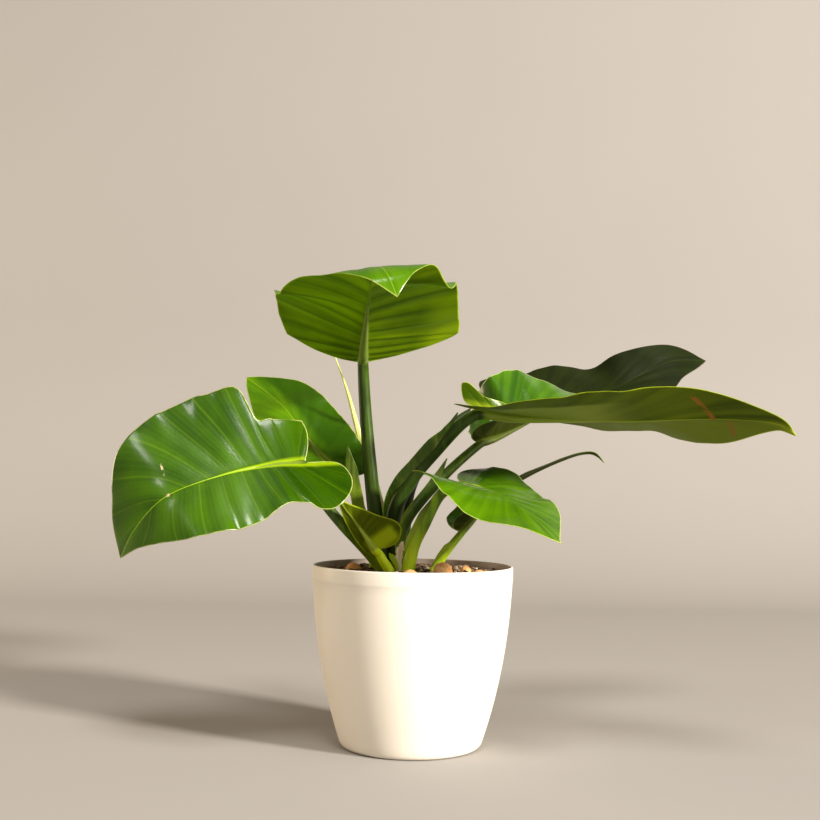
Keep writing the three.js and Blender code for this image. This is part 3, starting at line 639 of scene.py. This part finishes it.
def pot_piece():
    wall = wall_line(24)
    corner = bezier((FOOT_RADIUS, 0), (FOOT_RADIUS + CORNER_PULL, 0), wall[0], 6)
    step = POT_HEIGHT - LIP_HEIGHT
    foot_ring, floor_ring = FOOT_RADIUS - 9, FOOT_RADIUS * 0.6
    outer = [
        (0, 0),
        (foot_ring, 0),
        *corner,
        *wall[1:],
        *bezier(wall[-1], (RIM_RADIUS, step + 1), (RIM_RADIUS, step + 3), 5)[1:],
        *arc((RIM_RADIUS - LIP_ROUNDING, POT_HEIGHT - LIP_ROUNDING), LIP_ROUNDING, 0, 90, 5),
    ]
    inside = RIM_RADIUS - WALL
    inner = [
        *arc((inside + INNER_ROUNDING, POT_HEIGHT - INNER_ROUNDING), INNER_ROUNDING, 90, 180, 4),
        (inside, step),
        *((x - WALL, max(z, FLOOR)) for x, z in wall[::-1]),
        (floor_ring, FLOOR),
        (0, FLOOR),
    ]
    sides = 160
    points, faces = lathe(outer + inner, sides)
    shares = [0] * (len(outer) - 1) * sides + [1] * (len(inner) - 1) * sides + [0, 1]
    piece = make_piece("pot_shell", points, faces, [pot_skin()], values={"inside": shares})
    piece.data.set_sharp_from_angle(angle=math.radians(50))
    return piece


def crumbs(x, y, layers):
    sample = seeded_noise(CRUMB_SEED)
    return sum(high * (sample(x / wide + a, y / wide + b) - 0.5) for wide, high, a, b in layers)


def soil_level(x, y, edge=SOIL_EDGE):
    """The soil's height as in the solids. Its mound ends at the edge."""
    reach = np.hypot(x, y) / edge
    return SOIL_LEVEL + MOUND_HEIGHT * (1 - reach ** 2) + crumbs(x, y, CRUMBS)


def soil_height(x, y):
    """The soil's height with its fine crumbs."""
    return soil_level(x, y) + crumbs(x, y, FINE_CRUMBS)


def soil_piece():
    wall = [(x - WALL - SOIL_GAP, z) for x, z in wall_line(12)]
    side = [place for place in wall if FLOOR + 2 < place[1] < SOIL_LEVEL - 6]
    base = FOOT_RADIUS + FOOT_CORNER - WALL - 2 * SOIL_GAP
    rings = 70
    radii = SOIL_EDGE * (1 - np.arange(rings) / rings)
    profile = [(0, FLOOR + SOIL_GAP), (base, FLOOR + SOIL_GAP), *side, (SOIL_EDGE, SOIL_LEVEL - 3)]
    profile += [(radius, SOIL_LEVEL) for radius in radii] + [(0, SOIL_LEVEL)]
    points, faces = lathe(profile, sides=180)
    points = np.array(points)
    top = points[:, 2] == SOIL_LEVEL
    points[top, 2] = soil_height(points[top, 0], points[top, 1])
    return make_piece("soil_mix", points, faces, [soil_skin()])


def ball(detail):
    """Points and triangles of a round ball of radius 1."""
    made = bpy.data.meshes.new("ball")
    form = bmesh.new()
    bmesh.ops.create_icosphere(form, subdivisions=detail, radius=1)
    form.to_mesh(made)
    form.free()
    points = np.array([point.co for point in made.vertices])
    faces = [tuple(face.vertices) for face in made.polygons]
    bpy.data.meshes.remove(made)
    return points, faces


def pebble_piece(number, place, radius, sunk):
    x, y = place
    points, faces = ball(5)
    shift = Vector((3.1 * (number - 1), 1.7, 5.3))
    rough = np.array([
        sum(height * noise.noise(Vector(point) * count + shift) for count, height in PEBBLE_LUMPS)
        for point in points
    ])
    points = points * (0.955 + rough)[:, None] * radius * np.array([1, 1, 0.93])
    points = points + np.array([x, y, soil_level(x, y, RIM_RADIUS) + radius * (1 - 2 * sunk)])
    return make_piece(f"clay_ball_{number}", points, faces, [clay_skin()])


def free_spot(rng, size):
    """A place on the soil that is clear of the petioles and the pebbles."""
    taken = [(*leaf["petiole"][0][:2], leaf["radius"][0]) for leaf in LEAVES.values()]
    taken += [(*place, radius) for place, radius, sunk in PEBBLES]
    while True:
        reach = LITTER_REACH * math.sqrt(rng.random())
        turn = rng.uniform(0, 2 * math.pi)
        x, y = reach * math.cos(turn), reach * math.sin(turn)
        clear = all(math.hypot(x - a, y - b) > radius + size for a, b, radius in taken)
        if clear and reach + size < LITTER_REACH + 0.5:
            return x, y


def scattered_piece(name, skin, count, sizes, flat, seed):
    """Many small lumps lying in the soil, as one mesh with a tone for each lump."""
    rng = random.Random(seed)
    shape, faces = ball(2)
    all_points, all_faces, tones = [], [], []
    for index in range(count):
        size = rng.uniform(*sizes) * (1 + (rng.random() > 0.93) * 0.9)
        x, y = free_spot(rng, size)
        stretch = np.array([size, size * rng.uniform(0.5, 0.9), size * rng.uniform(*flat)])
        shift = Vector((rng.uniform(0, 99), rng.uniform(0, 99), index))
        rough = np.array([1 + 0.38 * noise.noise(Vector(point) * 1.7 + shift) for point in shape])
        spin = Matrix.Rotation(rng.uniform(0, 6.3), 3, "Z")
        tilt = Matrix.Rotation(rng.uniform(-0.5, 0.5), 3, "X")
        points = (shape * rough[:, None] * stretch) @ np.array(spin @ tilt).T
        z = soil_height(x, y) + stretch[2] * 0.35
        start = len(all_points) * len(shape)
        all_points.append(points + np.array([x, y, z]))
        all_faces += [tuple(point + start for point in face) for face in faces]
        tones += [rng.random()] * len(shape)
    return make_piece(name, np.vstack(all_points), all_faces, [skin], values={"tone": tones})


def scrap_piece():
    """A dry papery scrap of an old leaf's base, standing between the petioles."""
    curve = Curve([(-10, -20, 124), (-10.5, -21, 132), (-9.5, -21.5, 140), (-7.5, -21, 147)])

    def section(s, turn):
        ragged = 1 + 0.16 * np.sin(23 * s + 2 * np.cos(turn)) + 0.1 * np.sin(51 * s)
        return 2.6 * ragged * np.minimum(1, 0.3 + 3 * (1 - s)), 0.35 + 0 * turn * s

    points, faces = sweep(curve, (1, -0.2, 0), section, rings=40, sides=16)[:2]
    return make_piece("papery_scrap", points, faces, [scrap_skin()])


def crown_piece():
    curve = Curve([(*CROWN["at"], height) for height in CROWN["heights"]])

    def section(s, turn):
        scars = 0.05 * np.abs(np.sin(5 * np.pi * s)) + 0.02 * np.sin(3 * turn + 9 * s)
        radius = CROWN["radius"] * (0.93 + scars) * np.minimum(1, 0.45 + 6 * (1 - s))
        return radius, radius

    points, faces = sweep(curve, (0, 1, 0), section, rings=60, sides=36)[:2]
    return make_piece("crown_stem", points, faces, [crown_skin()])


# Materials

class Skin:
    """A material in the making, on Blender's main shader."""

    def __init__(self, name):
        self.material = bpy.data.materials.new(name)
        self.material.use_nodes = True
        self.nodes = self.material.node_tree.nodes
        self.links = self.material.node_tree.links
        self.shader = self.nodes["Principled BSDF"]

    def feed(self, value, socket):
        if isinstance(value, bpy.types.NodeSocket):
            self.links.new(value, socket)
        elif socket.type == "RGBA":
            socket.default_value = (*value, 1)
        else:
            socket.default_value = value

    def set(self, **values):
        """Sets the main shader's own sockets."""
        for key, value in values.items():
            self.feed(value, self.shader.inputs[key.replace("_", " ")])

    def node(self, kind, inputs, output=0, **settings):
        """A new node's output. Its inputs and its output go by name or by number."""
        node = self.nodes.new("ShaderNode" + kind)
        for key, value in settings.items():
            setattr(node, key, value)
        for key, value in inputs.items():
            self.feed(value, node.inputs[key])
        return node.outputs[output]

    def value(self, name):
        """A value that the mesh holds for each point."""
        return self.node("Attribute", {}, "Fac", attribute_name=name)

    def place(self, stretch=(1, 1, 1)):
        spot = self.node("TexCoord", {}, "Object")
        return self.node("Mapping", {"Vector": spot, "Scale": stretch})

    def noise(self, scale, detail, stretch=(1, 1, 1), warp=0):
        inputs = {"Scale": scale, "Detail": detail, "Distortion": warp, "Vector": self.place(stretch)}
        return self.node("TexNoise", inputs, "Fac")

    def noise_along(self, value, scale):
        """Noise that changes only with a value."""
        return self.node("TexNoise", {"Scale": scale, "W": value}, "Fac", noise_dimensions="1D")

    def cells(self, scale):
        """Distance from the centres of scattered cells."""
        return self.node("TexVoronoi", {"Scale": scale, "Vector": self.place()}, "Distance")

    def math(self, operation, a, b=0):
        return self.node("Math", {0: a, 1: b}, operation=operation)

    def times(self, a, b):
        return self.math("MULTIPLY", a, b)

    def band(self, value, low, high, start=0, end=1):
        """From start to end, smoothly, as the value goes from low to high."""
        inputs = {"Value": value, "From Min": low, "From Max": high, "To Min": start, "To Max": end}
        return self.node("MapRange", inputs, interpolation_type="SMOOTHSTEP")

    def mottle(self, scale, detail, low, high, start=0, end=1):
        """A band of plain noise."""
        return self.band(self.noise(scale, detail), low, high, start, end)

    def mix(self, share, a, b):
        """From colour a to colour b, as the share goes from 0 to 1."""
        return self.node("Mix", {"Factor": share, 6: a, 7: b}, 2, data_type="RGBA")

    def bump(self, height, depth):
        """Relief in the shading, with its depth in millimetres."""
        return self.node("Bump", {"Strength": 1, "Distance": depth * MM, "Height": height})

    def let_light_through(self, colour, share):
        """Mixes in light that falls through the thin piece from behind."""
        through = self.node("BsdfTranslucent", {"Color": colour})
        both = self.node("MixShader", {0: share, 1: self.shader.outputs[0], 2: through})
        self.feed(both, self.nodes["Material Output"].inputs["Surface"])

    def finish(self, colour, rough, height, depth, specular=0.5):
        """Sets colour and gloss and a relief of some depth. rough holds a noise's scale and detail, and
        the roughness where it is low and where it is high."""
        self.set(Base_Color=colour, Specular_IOR_Level=specular)
        self.set(Roughness=self.mottle(*rough[:2], 0.3, 0.7, *rough[2:]))
        self.set(Normal=self.bump(height, depth))
        return self.material


# Colours of a blade, its under side first: its flesh where dark and light, its midrib and its margin
# The kinds are copies of one leaf's colours for the light each leaf stands in: bright and plain are lighter,
# as painted light, and shaded and deep are darker, as painted shade.
BLADE_COLOURS = {
    "fresh": (
        ((0.06, 0.11, 0.003), (0.13, 0.21, 0.005), (0.19, 0.28, 0.02), (0.42, 0.54, 0.08)),
        ((0.018, 0.07, 0.001), (0.066, 0.182, 0.001), (0.42, 0.64, 0.006), (0.6, 0.66, 0.2)),
    ),
    "shaded": (
        ((0.02, 0.032, 0.002), (0.056, 0.074, 0.006), (0.09, 0.115, 0.018), (0.18, 0.23, 0.06)),
        ((0.018, 0.072, 0.001), (0.066, 0.185, 0.002), (0.12, 0.23, 0.01), (0.48, 0.56, 0.2)),
    ),
    "plain": (
        ((0.07, 0.11, 0.003), (0.15, 0.22, 0.005), (0.25, 0.36, 0.01), (0.42, 0.54, 0.08)),
        ((0.036, 0.115, 0.001), (0.11, 0.26, 0.002), (0.1, 0.21, 0.004), (0.56, 0.64, 0.14)),
    ),
    "bright": (
        ((0.032, 0.062, 0.001), (0.26, 0.38, 0.002), (0.14, 0.21, 0.02), (0.56, 0.7, 0.06)),
        ((0.08, 0.24, 0.002), (0.17, 0.38, 0.003), (0.42, 0.6, 0.015), (0.64, 0.7, 0.18)),
    ),
    "olive": (
        ((0.046, 0.07, 0.001), (0.124, 0.176, 0.003), (0.28, 0.37, 0.036), (0.4, 0.5, 0.02)),
        ((0.045, 0.1, 0.002), (0.09, 0.17, 0.003), (0.34, 0.48, 0.02), (0.52, 0.6, 0.1)),
    ),
    "deep": (
        ((0.014, 0.022, 0.002), (0.028, 0.04, 0.004), (0.045, 0.058, 0.01), (0.07, 0.08, 0.02)),
        ((0.006, 0.01, 0.001), (0.012, 0.02, 0.002), (0.022, 0.032, 0.006), (0.05, 0.045, 0.016)),
    ),
}

# Colour of the light that comes through a blade
BLADE_GLOW = (0.36, 0.52, 0.003)
# How much of the light goes through, for each kind of blade
LIGHT_THROUGH = {"fresh": 0.3, "shaded": 0.12, "plain": 0.3, "bright": 0.55, "olive": 0.2, "deep": 0.02}

# On a blade's under side and its upper side: how far the midrib's colour spreads, in necks of the
# petiole, at which station it ends, and how wide the pale margin is, in millimetres
MIDRIB_SPREAD = (1.3, 1.9)
MIDRIB_END = (1, 0.75)
MARGIN_WIDTH = (1.2, 0.8)

# How rough a blade is at least and at most
GLOSSY = (0.2, 0.34)
SATIN = (0.42, 0.58)

# Fine veins for each side vein
FINE_VEINS = 6

# Patches on a blade, by leaf and by side (True is the upper one): where a patch's line crosses the
# midrib, how it slants, how wide it is, how far it reaches across and how soft its ends are, in
# millimetres, and its colour. Washes are even, and are painted light and shade: lit and shaded parts
# of a blade put into its colour. Scars are broken.
PAINTED_LIGHT_AND_SHADE_STRENGTH = 0.8
PAINTED_LIGHT_AND_SHADE = {
    ("leaf_right_front", False): [
        # Painted light: a pale band by the midrib, where light shines through the blade
        (58, 0, 66, (0, 24), 5, (0.27, 0.34, 0.05)),
        # Painted light: the other half a lighter olive, as if lit from below
        (150, 0, 140, (-60, -4), 4, (0.16, 0.215, 0.012)),
    ],
    # Painted light: a bright yellow-green patch near the margin, where light shines through
    ("leaf_top", False): [(45, 0.5, 70, (-90, -62), 26, (0.43, 0.6, 0.008))],
    # Painted light: a lime patch at the base, as if in sunlight
    ("leaf_front_small", False): [(2, 0, 9, (-16, 2), 5, (0.5, 0.66, 0.01))],
    # Painted shade: the half that turns away from the light made darker
    ("leaf_left_back", True): [(40, 0, 260, (11, 60), 9, (0.02, 0.09, 0.001))],
    # Painted shade: the far half made darker, as it lies in shade
    ("leaf_right_low", True): [(-30, -1, 45, (-60, -15), 3, (0.01, 0.036, 0.002))],
}
SCARS = {
    ("leaf_right_front", False): [
        (166.4, -0.36, 2.8, (1, 24), 3, (0.29, 0.125, 0.018)),
        (176, 0, 2.2, (-19, -5), 3, (0.25, 0.12, 0.02)),
    ],
    ("leaf_left_front", True): [
        (95.4, -0.11, 0.9, (15, 24), 1, (0.72, 0.64, 0.36)),
        (97, 0, 1.5, (-0.8, 0.8), 0.8, (0.7, 0.56, 0.3)),
    ],
}


def patch_share(skin, patch):
    """How much of a patch shows, from 0 to 1."""
    start, slant, width, reach, soft = patch[:5]
    across = skin.value("across")
    line = skin.math("SUBTRACT", skin.value("along"), skin.times(across, slant))
    aside = skin.math("ABSOLUTE", skin.math("SUBTRACT", line, start))
    near = skin.band(aside, 0.3 * width, width, 1, 0)
    first = skin.band(across, reach[0] - soft, reach[0])
    last = skin.band(across, reach[1], reach[1] + soft, 1, 0)
    return skin.times(skin.times(first, last), near)


def patched(skin, colour, name, upper):
    # Painted light and shade go on first, then the scars
    for patch in PAINTED_LIGHT_AND_SHADE.get((name, upper), []):
        colour = skin.mix(skin.times(patch_share(skin, patch), PAINTED_LIGHT_AND_SHADE_STRENGTH), colour, patch[-1])
    for patch in SCARS.get((name, upper), []):
        broken = skin.mottle(230, 4, 0.36, 0.52)
        colour = skin.mix(skin.times(patch_share(skin, patch), broken), colour, patch[-1])
    return colour


def flesh(skin, vein, dark, light):
    """Clouds, and stripes that run with the veins. The stripes are tone that varies between veins, and
    partly painted light through the blade.
    """
    stripes = skin.band(skin.noise_along(vein, 1.3), 0.35, 0.65)
    cloud = skin.mottle(24, 4, 0.3, 0.7)
    share = skin.math("ADD", skin.times(stripes, 0.4), skin.times(cloud, 0.6))
    return skin.mix(share, dark, light)


def veined(skin, colour, vein, fine, kind, upper):
    """Pale lines on the upper side. On the under side, painted shade along the side veins' folds, painted
    light between them, and a pale tip.
    """
    dark, light, rib, edge = BLADE_COLOURS[kind][upper]
    from_vein = skin.math("PINGPONG", vein, 0.5)
    if upper:
        lines = skin.band(from_vein, 0, 0.05, 0.12, 0)
        return skin.mix(skin.math("MAXIMUM", lines, skin.times(fine, 0.03)), colour, rib)
    # Painted shade: darker along each side vein, where its fold would be in shade
    ridge = skin.band(from_vein, 0.02, 0.2, 0.75 if kind == "bright" else 0.3, 0)
    colour = skin.mix(ridge, colour, dark)
    colour = skin.mix(skin.times(fine, 0.16), colour, dark)
    # Painted light: lighter between the side veins, where the folds rise
    colour = skin.mix(skin.band(from_vein, 0.2, 0.5, 0, 0.35), colour, light)
    return skin.mix(skin.band(skin.value("station"), 0.9, 1, 0, 0.8), colour, edge)


def with_midrib(skin, colour, rib, neck, upper):
    """The midrib's colour, which narrows from the neck of the petiole on."""
    from_rib = skin.math("ABSOLUTE", skin.value("across"))
    widest = MIDRIB_SPREAD[upper] * neck
    reach = skin.band(skin.value("station"), 0, MIDRIB_END[upper], widest, 0.3)
    return skin.mix(skin.band(skin.math("DIVIDE", from_rib, reach), 0.4, 1.1, 0.9, 0), colour, rib)


def leaf_skin(name, kind, neck, upper):
    """One side of a blade. neck is the petiole's radius where the blade starts."""
    skin = Skin(name + ("_upper_side" if upper else "_under_side"))
    dark, light, rib, edge = BLADE_COLOURS[kind][upper]
    vein = skin.value("vein")
    fine = skin.band(skin.math("PINGPONG", skin.times(vein, FINE_VEINS), 0.5), 0, 0.25, 1, 0)
    colour = veined(skin, flesh(skin, vein, dark, light), vein, fine, kind, upper)
    speckle = skin.mottle(1100, 2, 0.62, 0.74, 0, 0.3)
    colour = with_midrib(skin, skin.mix(speckle, colour, light), rib, neck, upper)
    colour = patched(skin, colour, name, upper)
    width = MARGIN_WIDTH[upper]
    colour = skin.mix(skin.band(skin.value("edge"), 0.3 * width, width, 1, 0), colour, edge)
    glossy = upper and kind != "deep"
    skin.set(Base_Color=colour, Specular_IOR_Level=0.16 if glossy else 0.07)
    skin.set(Roughness=skin.mottle(60, 3, 0.2, 0.8, *(GLOSSY if glossy else SATIN)))
    grain = skin.math("ADD", skin.noise(420, 3), skin.times(fine, -0.15))
    skin.set(Normal=skin.bump(grain, 0.1))
    if glossy:
        skin.set(Coat_Weight=0.3 if kind == "bright" else 0.7, Coat_Roughness=0.14)
    skin.let_light_through(skin.mix(0.5, colour, BLADE_GLOW), LIGHT_THROUGH[kind])
    return skin.material


# Colours of a petiole, sheath or stem: its flesh where dark and light, and its foot
STEM_COLOURS = {
    # Lime and lush are greens made lighter for stems in sunlight, partly painted light
    "lime": ((0.44, 0.64, 0.006), (0.6, 0.8, 0.012), (0.64, 0.86, 0.012)),
    "lush": ((0.08, 0.18, 0.003), (0.24, 0.43, 0.008), (0.6, 0.84, 0.012)),
    "green": ((0.04, 0.088, 0.002), (0.095, 0.175, 0.005), (0.3, 0.46, 0.008)),
    "dark": ((0.018, 0.042, 0.002), (0.042, 0.085, 0.004), (0.09, 0.15, 0.006)),
    "sheath": ((0.036, 0.068, 0.003), (0.12, 0.175, 0.016), (0.3, 0.42, 0.014)),
    "spear": ((0.56, 0.6, 0.16), (0.8, 0.78, 0.4), (0.36, 0.48, 0.06)),
    "crown": ((0.12, 0.13, 0.05), (0.24, 0.22, 0.1), (0.16, 0.13, 0.06)),
}

# How far up a stem the foot's colour fades out, in millimetres. The foot's colour is its pale base, made
# brighter as painted sunlight.
STEM_FOOT = (16, 60)


def stem_skin(name, kind, streak_scale, rib=None):
    """Green flesh with pale streaks along it. With a rib colour, it ends as the midrib's ridge."""
    skin = Skin(name)
    deep, pale, foot = STEM_COLOURS[kind]
    streaks = skin.band(skin.noise(streak_scale, 4, (1, 1, 0.12), 0.3), 0.42, 0.68)
    colour = skin.mix(streaks, deep, pale)
    dashes = skin.band(skin.noise(700, 2, (1, 1, 0.22)), 0.64, 0.72, 0, 0.5)
    colour = skin.mix(dashes, colour, pale)
    # The pale foot, made brighter than it is as painted sunlight
    colour = skin.mix(skin.band(skin.value("along"), *STEM_FOOT, 0.9, 0), colour, foot)
    if rib:
        colour = skin.mix(skin.band(skin.value("ridge"), 0, 0.08, 0, 0.85), colour, rib)
    skin.set(Subsurface_Weight=0.25, Subsurface_Scale=0.003, Subsurface_Radius=(0.5, 1, 0.1))
    return skin.finish(colour, (90, 3, 0.3, 0.45), skin.noise(300, 3, (1, 1, 0.15)), 0.2, 0.28)


def petiole_skin(stem, kind):
    return stem_skin(f"petiole_{stem}_{kind}", stem, 160, BLADE_COLOURS[kind][False][2])


@cache
def sheath_skin():
    return stem_skin("sheath_flesh", "sheath", 220)


def spear_skin():
    return stem_skin("rolled_leaf", "spear", 240)


def crown_skin():
    return stem_skin("crown_flesh", "crown", 200)


# Other colours. A pair holds the two tones that a piece varies between.
PAPER = ((0.56, 0.43, 0.26), (0.86, 0.8, 0.66))
CREAM = ((0.8, 0.745, 0.65), (0.835, 0.785, 0.695))
DUST_AND_PAINTED_SHADE = (0.15, 0.092, 0.058)
SOIL = ((0.07, 0.04, 0.024), (0.22, 0.138, 0.084))
DRY_SOIL = (0.17, 0.12, 0.085)
FIBRE = (0.23, 0.15, 0.09)
BARK = ((0.06, 0.035, 0.02), (0.2, 0.122, 0.072))
PALE_BARK = (0.32, 0.23, 0.15)
BARK_CRACK = (0.03, 0.018, 0.012)
PERLITE = ((0.75, 0.73, 0.68), (0.52, 0.47, 0.4))
CLAY = ((0.7, 0.27, 0.09), (0.9, 0.52, 0.22))
PALE_CLAY = (0.8, 0.56, 0.34)
CLAY_PIT = (0.17, 0.06, 0.025)
BACKDROP = ((0.3, 0.286, 0.272), (0.312, 0.298, 0.284))


def scrap_skin():
    skin = Skin("dry_paper")
    streaks = skin.band(skin.noise(260, 4, (1, 1, 0.2)), 0.35, 0.65)
    fibres = skin.noise(500, 4, (1, 1, 0.2))
    return skin.finish(skin.mix(streaks, *PAPER), (200, 3, 0.7, 0.9), fibres, 0.3)


def pot_skin():
    skin = Skin("matt_cream_plastic")
    colour = skin.mix(skin.mottle(14, 4, 0.3, 0.7), *CREAM)
    # Inside, the wall darkens to brown: partly soil dust, mostly painted shade of the inner wall
    dust_and_shade = skin.times(skin.value("inside"), skin.mottle(60, 4, 0.2, 0.7, 0.7, 0.92))
    colour = skin.mix(dust_and_shade, colour, DUST_AND_PAINTED_SHADE)
    return skin.finish(colour, (45, 4, 0.4, 0.5), skin.noise(1800, 2), 0.03, 0.4)


def soil_skin():
    skin = Skin("potting_mix")
    colour = skin.mix(skin.mottle(220, 6, 0.35, 0.65), *SOIL)
    colour = skin.mix(skin.mottle(40, 4, 0.5, 0.7, 0, 0.5), colour, DRY_SOIL)
    fibre = skin.band(skin.noise(500, 3, (1, 0.2, 1), 1), 0.62, 0.7, 0, 0.7)
    colour = skin.mix(fibre, colour, FIBRE)
    return skin.finish(colour, (150, 4, 0.8, 1), skin.noise(600, 6), 0.9, 0.2)


def chip_skin():
    skin = Skin("bark_chips")
    tone = skin.value("tone")
    colour = skin.mix(skin.band(tone, 0.25, 0.6), *BARK)
    colour = skin.mix(skin.band(tone, 0.72, 0.9), colour, PALE_BARK)
    colour = skin.mix(skin.mottle(700, 4, 0.4, 0.7, 0, 0.5), colour, BARK_CRACK)
    return skin.finish(colour, (300, 4, 0.7, 0.95), skin.noise(900, 5), 0.6, 0.25)


def bead_skin():
    skin = Skin("perlite")
    colour = skin.mix(skin.mottle(500, 4, 0.4, 0.65), *PERLITE)
    return skin.finish(colour, (400, 3, 0.8, 0.95), skin.noise(1500, 4), 0.4)


@cache
def clay_skin():
    skin = Skin("fired_clay")
    colour = skin.mix(skin.mottle(160, 5, 0.35, 0.65), *CLAY)
    colour = skin.mix(skin.mottle(70, 4, 0.5, 0.72, 0, 0.55), colour, PALE_CLAY)
    pits = skin.band(skin.cells(900), 0, 0.28, 1, 0)
    colour = skin.mix(skin.times(pits, 0.6), colour, CLAY_PIT)
    relief = skin.math("SUBTRACT", skin.noise(700, 5), skin.times(pits, 0.7))
    return skin.finish(colour, (300, 4, 0.75, 0.95), relief, 0.5, 0.25)


def backdrop_skin():
    skin = Skin("plain_backdrop")
    skin.set(Base_Color=skin.mix(skin.noise(3, 2), *BACKDROP), Roughness=0.9, Specular_IOR_Level=0.1)
    return skin.material


# Stage, light and camera

# Each light's azimuth from the front to the right and its elevation, in degrees, its distance and size
# in metres, its power in watts and its colour
LIGHTS = {
    "key_light": (56, 19, 6, 0.7, 780, (1, 0.93, 0.84)),
    "left_fill": (-112, 10, 2.2, 0.8, 20, (1, 0.78, 0.52)),
    "top_gloss": (4, 60, 2, 0.55, 26, (1, 0.96, 0.9)),
    "side_gloss": (-50, 40, 2, 0.3, 4, (1, 0.96, 0.9)),
    "low_bounce": (50, 5, 2.4, 0.9, 16, (1, 0.9, 0.7)),
}
LIGHT_TARGET = (0, 0, 0.18)
AIR_COLOUR = (1, 0.79, 0.58, 1)
AIR_STRENGTH = 0.34

# The photograph's viewpoint: a 50 mm lens at the plant's height, tilted up and rolled a little
LENS = 50
SENSOR_WIDTH = 36
CAMERA_PLACE = (-0.0036, -0.8375, 0.1894)
CAMERA_TILT = 3.62
CAMERA_ROLL = 0.81


def build_stage():
    """A plain pale floor that curves up into a plain wall far behind the plant."""
    front, bend, radius, top, side = -2500, 900, 500, 3200, 3500
    line = [(front, 0), *arc((bend, radius), radius, -90, 0, 9), (bend + radius, top)]
    points = [(x, y, z) for y, z in line for x in (-side, side)]
    faces = [(2 * row, 2 * row + 1, 2 * row + 3, 2 * row + 2) for row in range(len(line) - 1)]
    make_piece("backdrop", points, faces, [backdrop_skin()])


def add_light(name, azimuth, elevation, distance, size, power, colour):
    """A soft square light that looks at the plant."""
    a, e = math.radians(azimuth), math.radians(elevation)
    away = Vector((math.sin(a) * math.cos(e), -math.cos(a) * math.cos(e), math.sin(e)))
    data = bpy.data.lights.new(name, "AREA")
    data.size = size
    data.energy = power
    data.color = colour
    light = new_object(name, data)
    light.location = Vector(LIGHT_TARGET) + away * distance
    light.rotation_euler = (-away).to_track_quat("-Z", "Y").to_euler()


def build_light():
    for name, values in LIGHTS.items():
        add_light(name, *values)
    world = bpy.data.worlds.new("studio_air")
    world.use_nodes = True
    air = world.node_tree.nodes["Background"]
    air.inputs["Color"].default_value = AIR_COLOUR
    air.inputs["Strength"].default_value = AIR_STRENGTH
    bpy.context.scene.world = world
    bpy.context.scene.view_settings.view_transform = "Standard"


def build_camera():
    data = bpy.data.cameras.new("camera")
    data.lens = LENS
    data.sensor_width = SENSOR_WIDTH
    camera = new_object("camera", data)
    tilt = Matrix.Rotation(math.radians(90 + CAMERA_TILT), 4, "X")
    roll = Matrix.Rotation(math.radians(CAMERA_ROLL), 4, "Z")
    camera.matrix_world = Matrix.Translation(CAMERA_PLACE) @ tilt @ roll
    bpy.context.scene.camera = camera


# The whole plant

def build_leaf(name, leaf):
    blade = Blade(name, leaf)
    dress(blade_piece(blade), name)
    dress(petiole_piece(blade), name)
    if "sheath" in leaf:
        dress(sheath_piece(name, leaf), name)


def build_plant():
    dress(pot_piece(), "pot")
    dress(soil_piece(), "soil")
    for number, (place, radius, sunk) in enumerate(PEBBLES, 1):
        dress(pebble_piece(number, place, radius, sunk), f"clay_pebble_{number}")
    dress(scattered_piece("soil_chips", chip_skin(), **CHIPS))
    dress(scrap_piece())
    dress(scattered_piece("perlite_beads", bead_skin(), **BEADS))
    dress(crown_piece(), "crown")
    for name, leaf in LEAVES.items():
        build_leaf(name, leaf)
    dress(spear_piece(), "new_leaf_spear")


build_stage()
build_light()
build_camera()
build_plant()
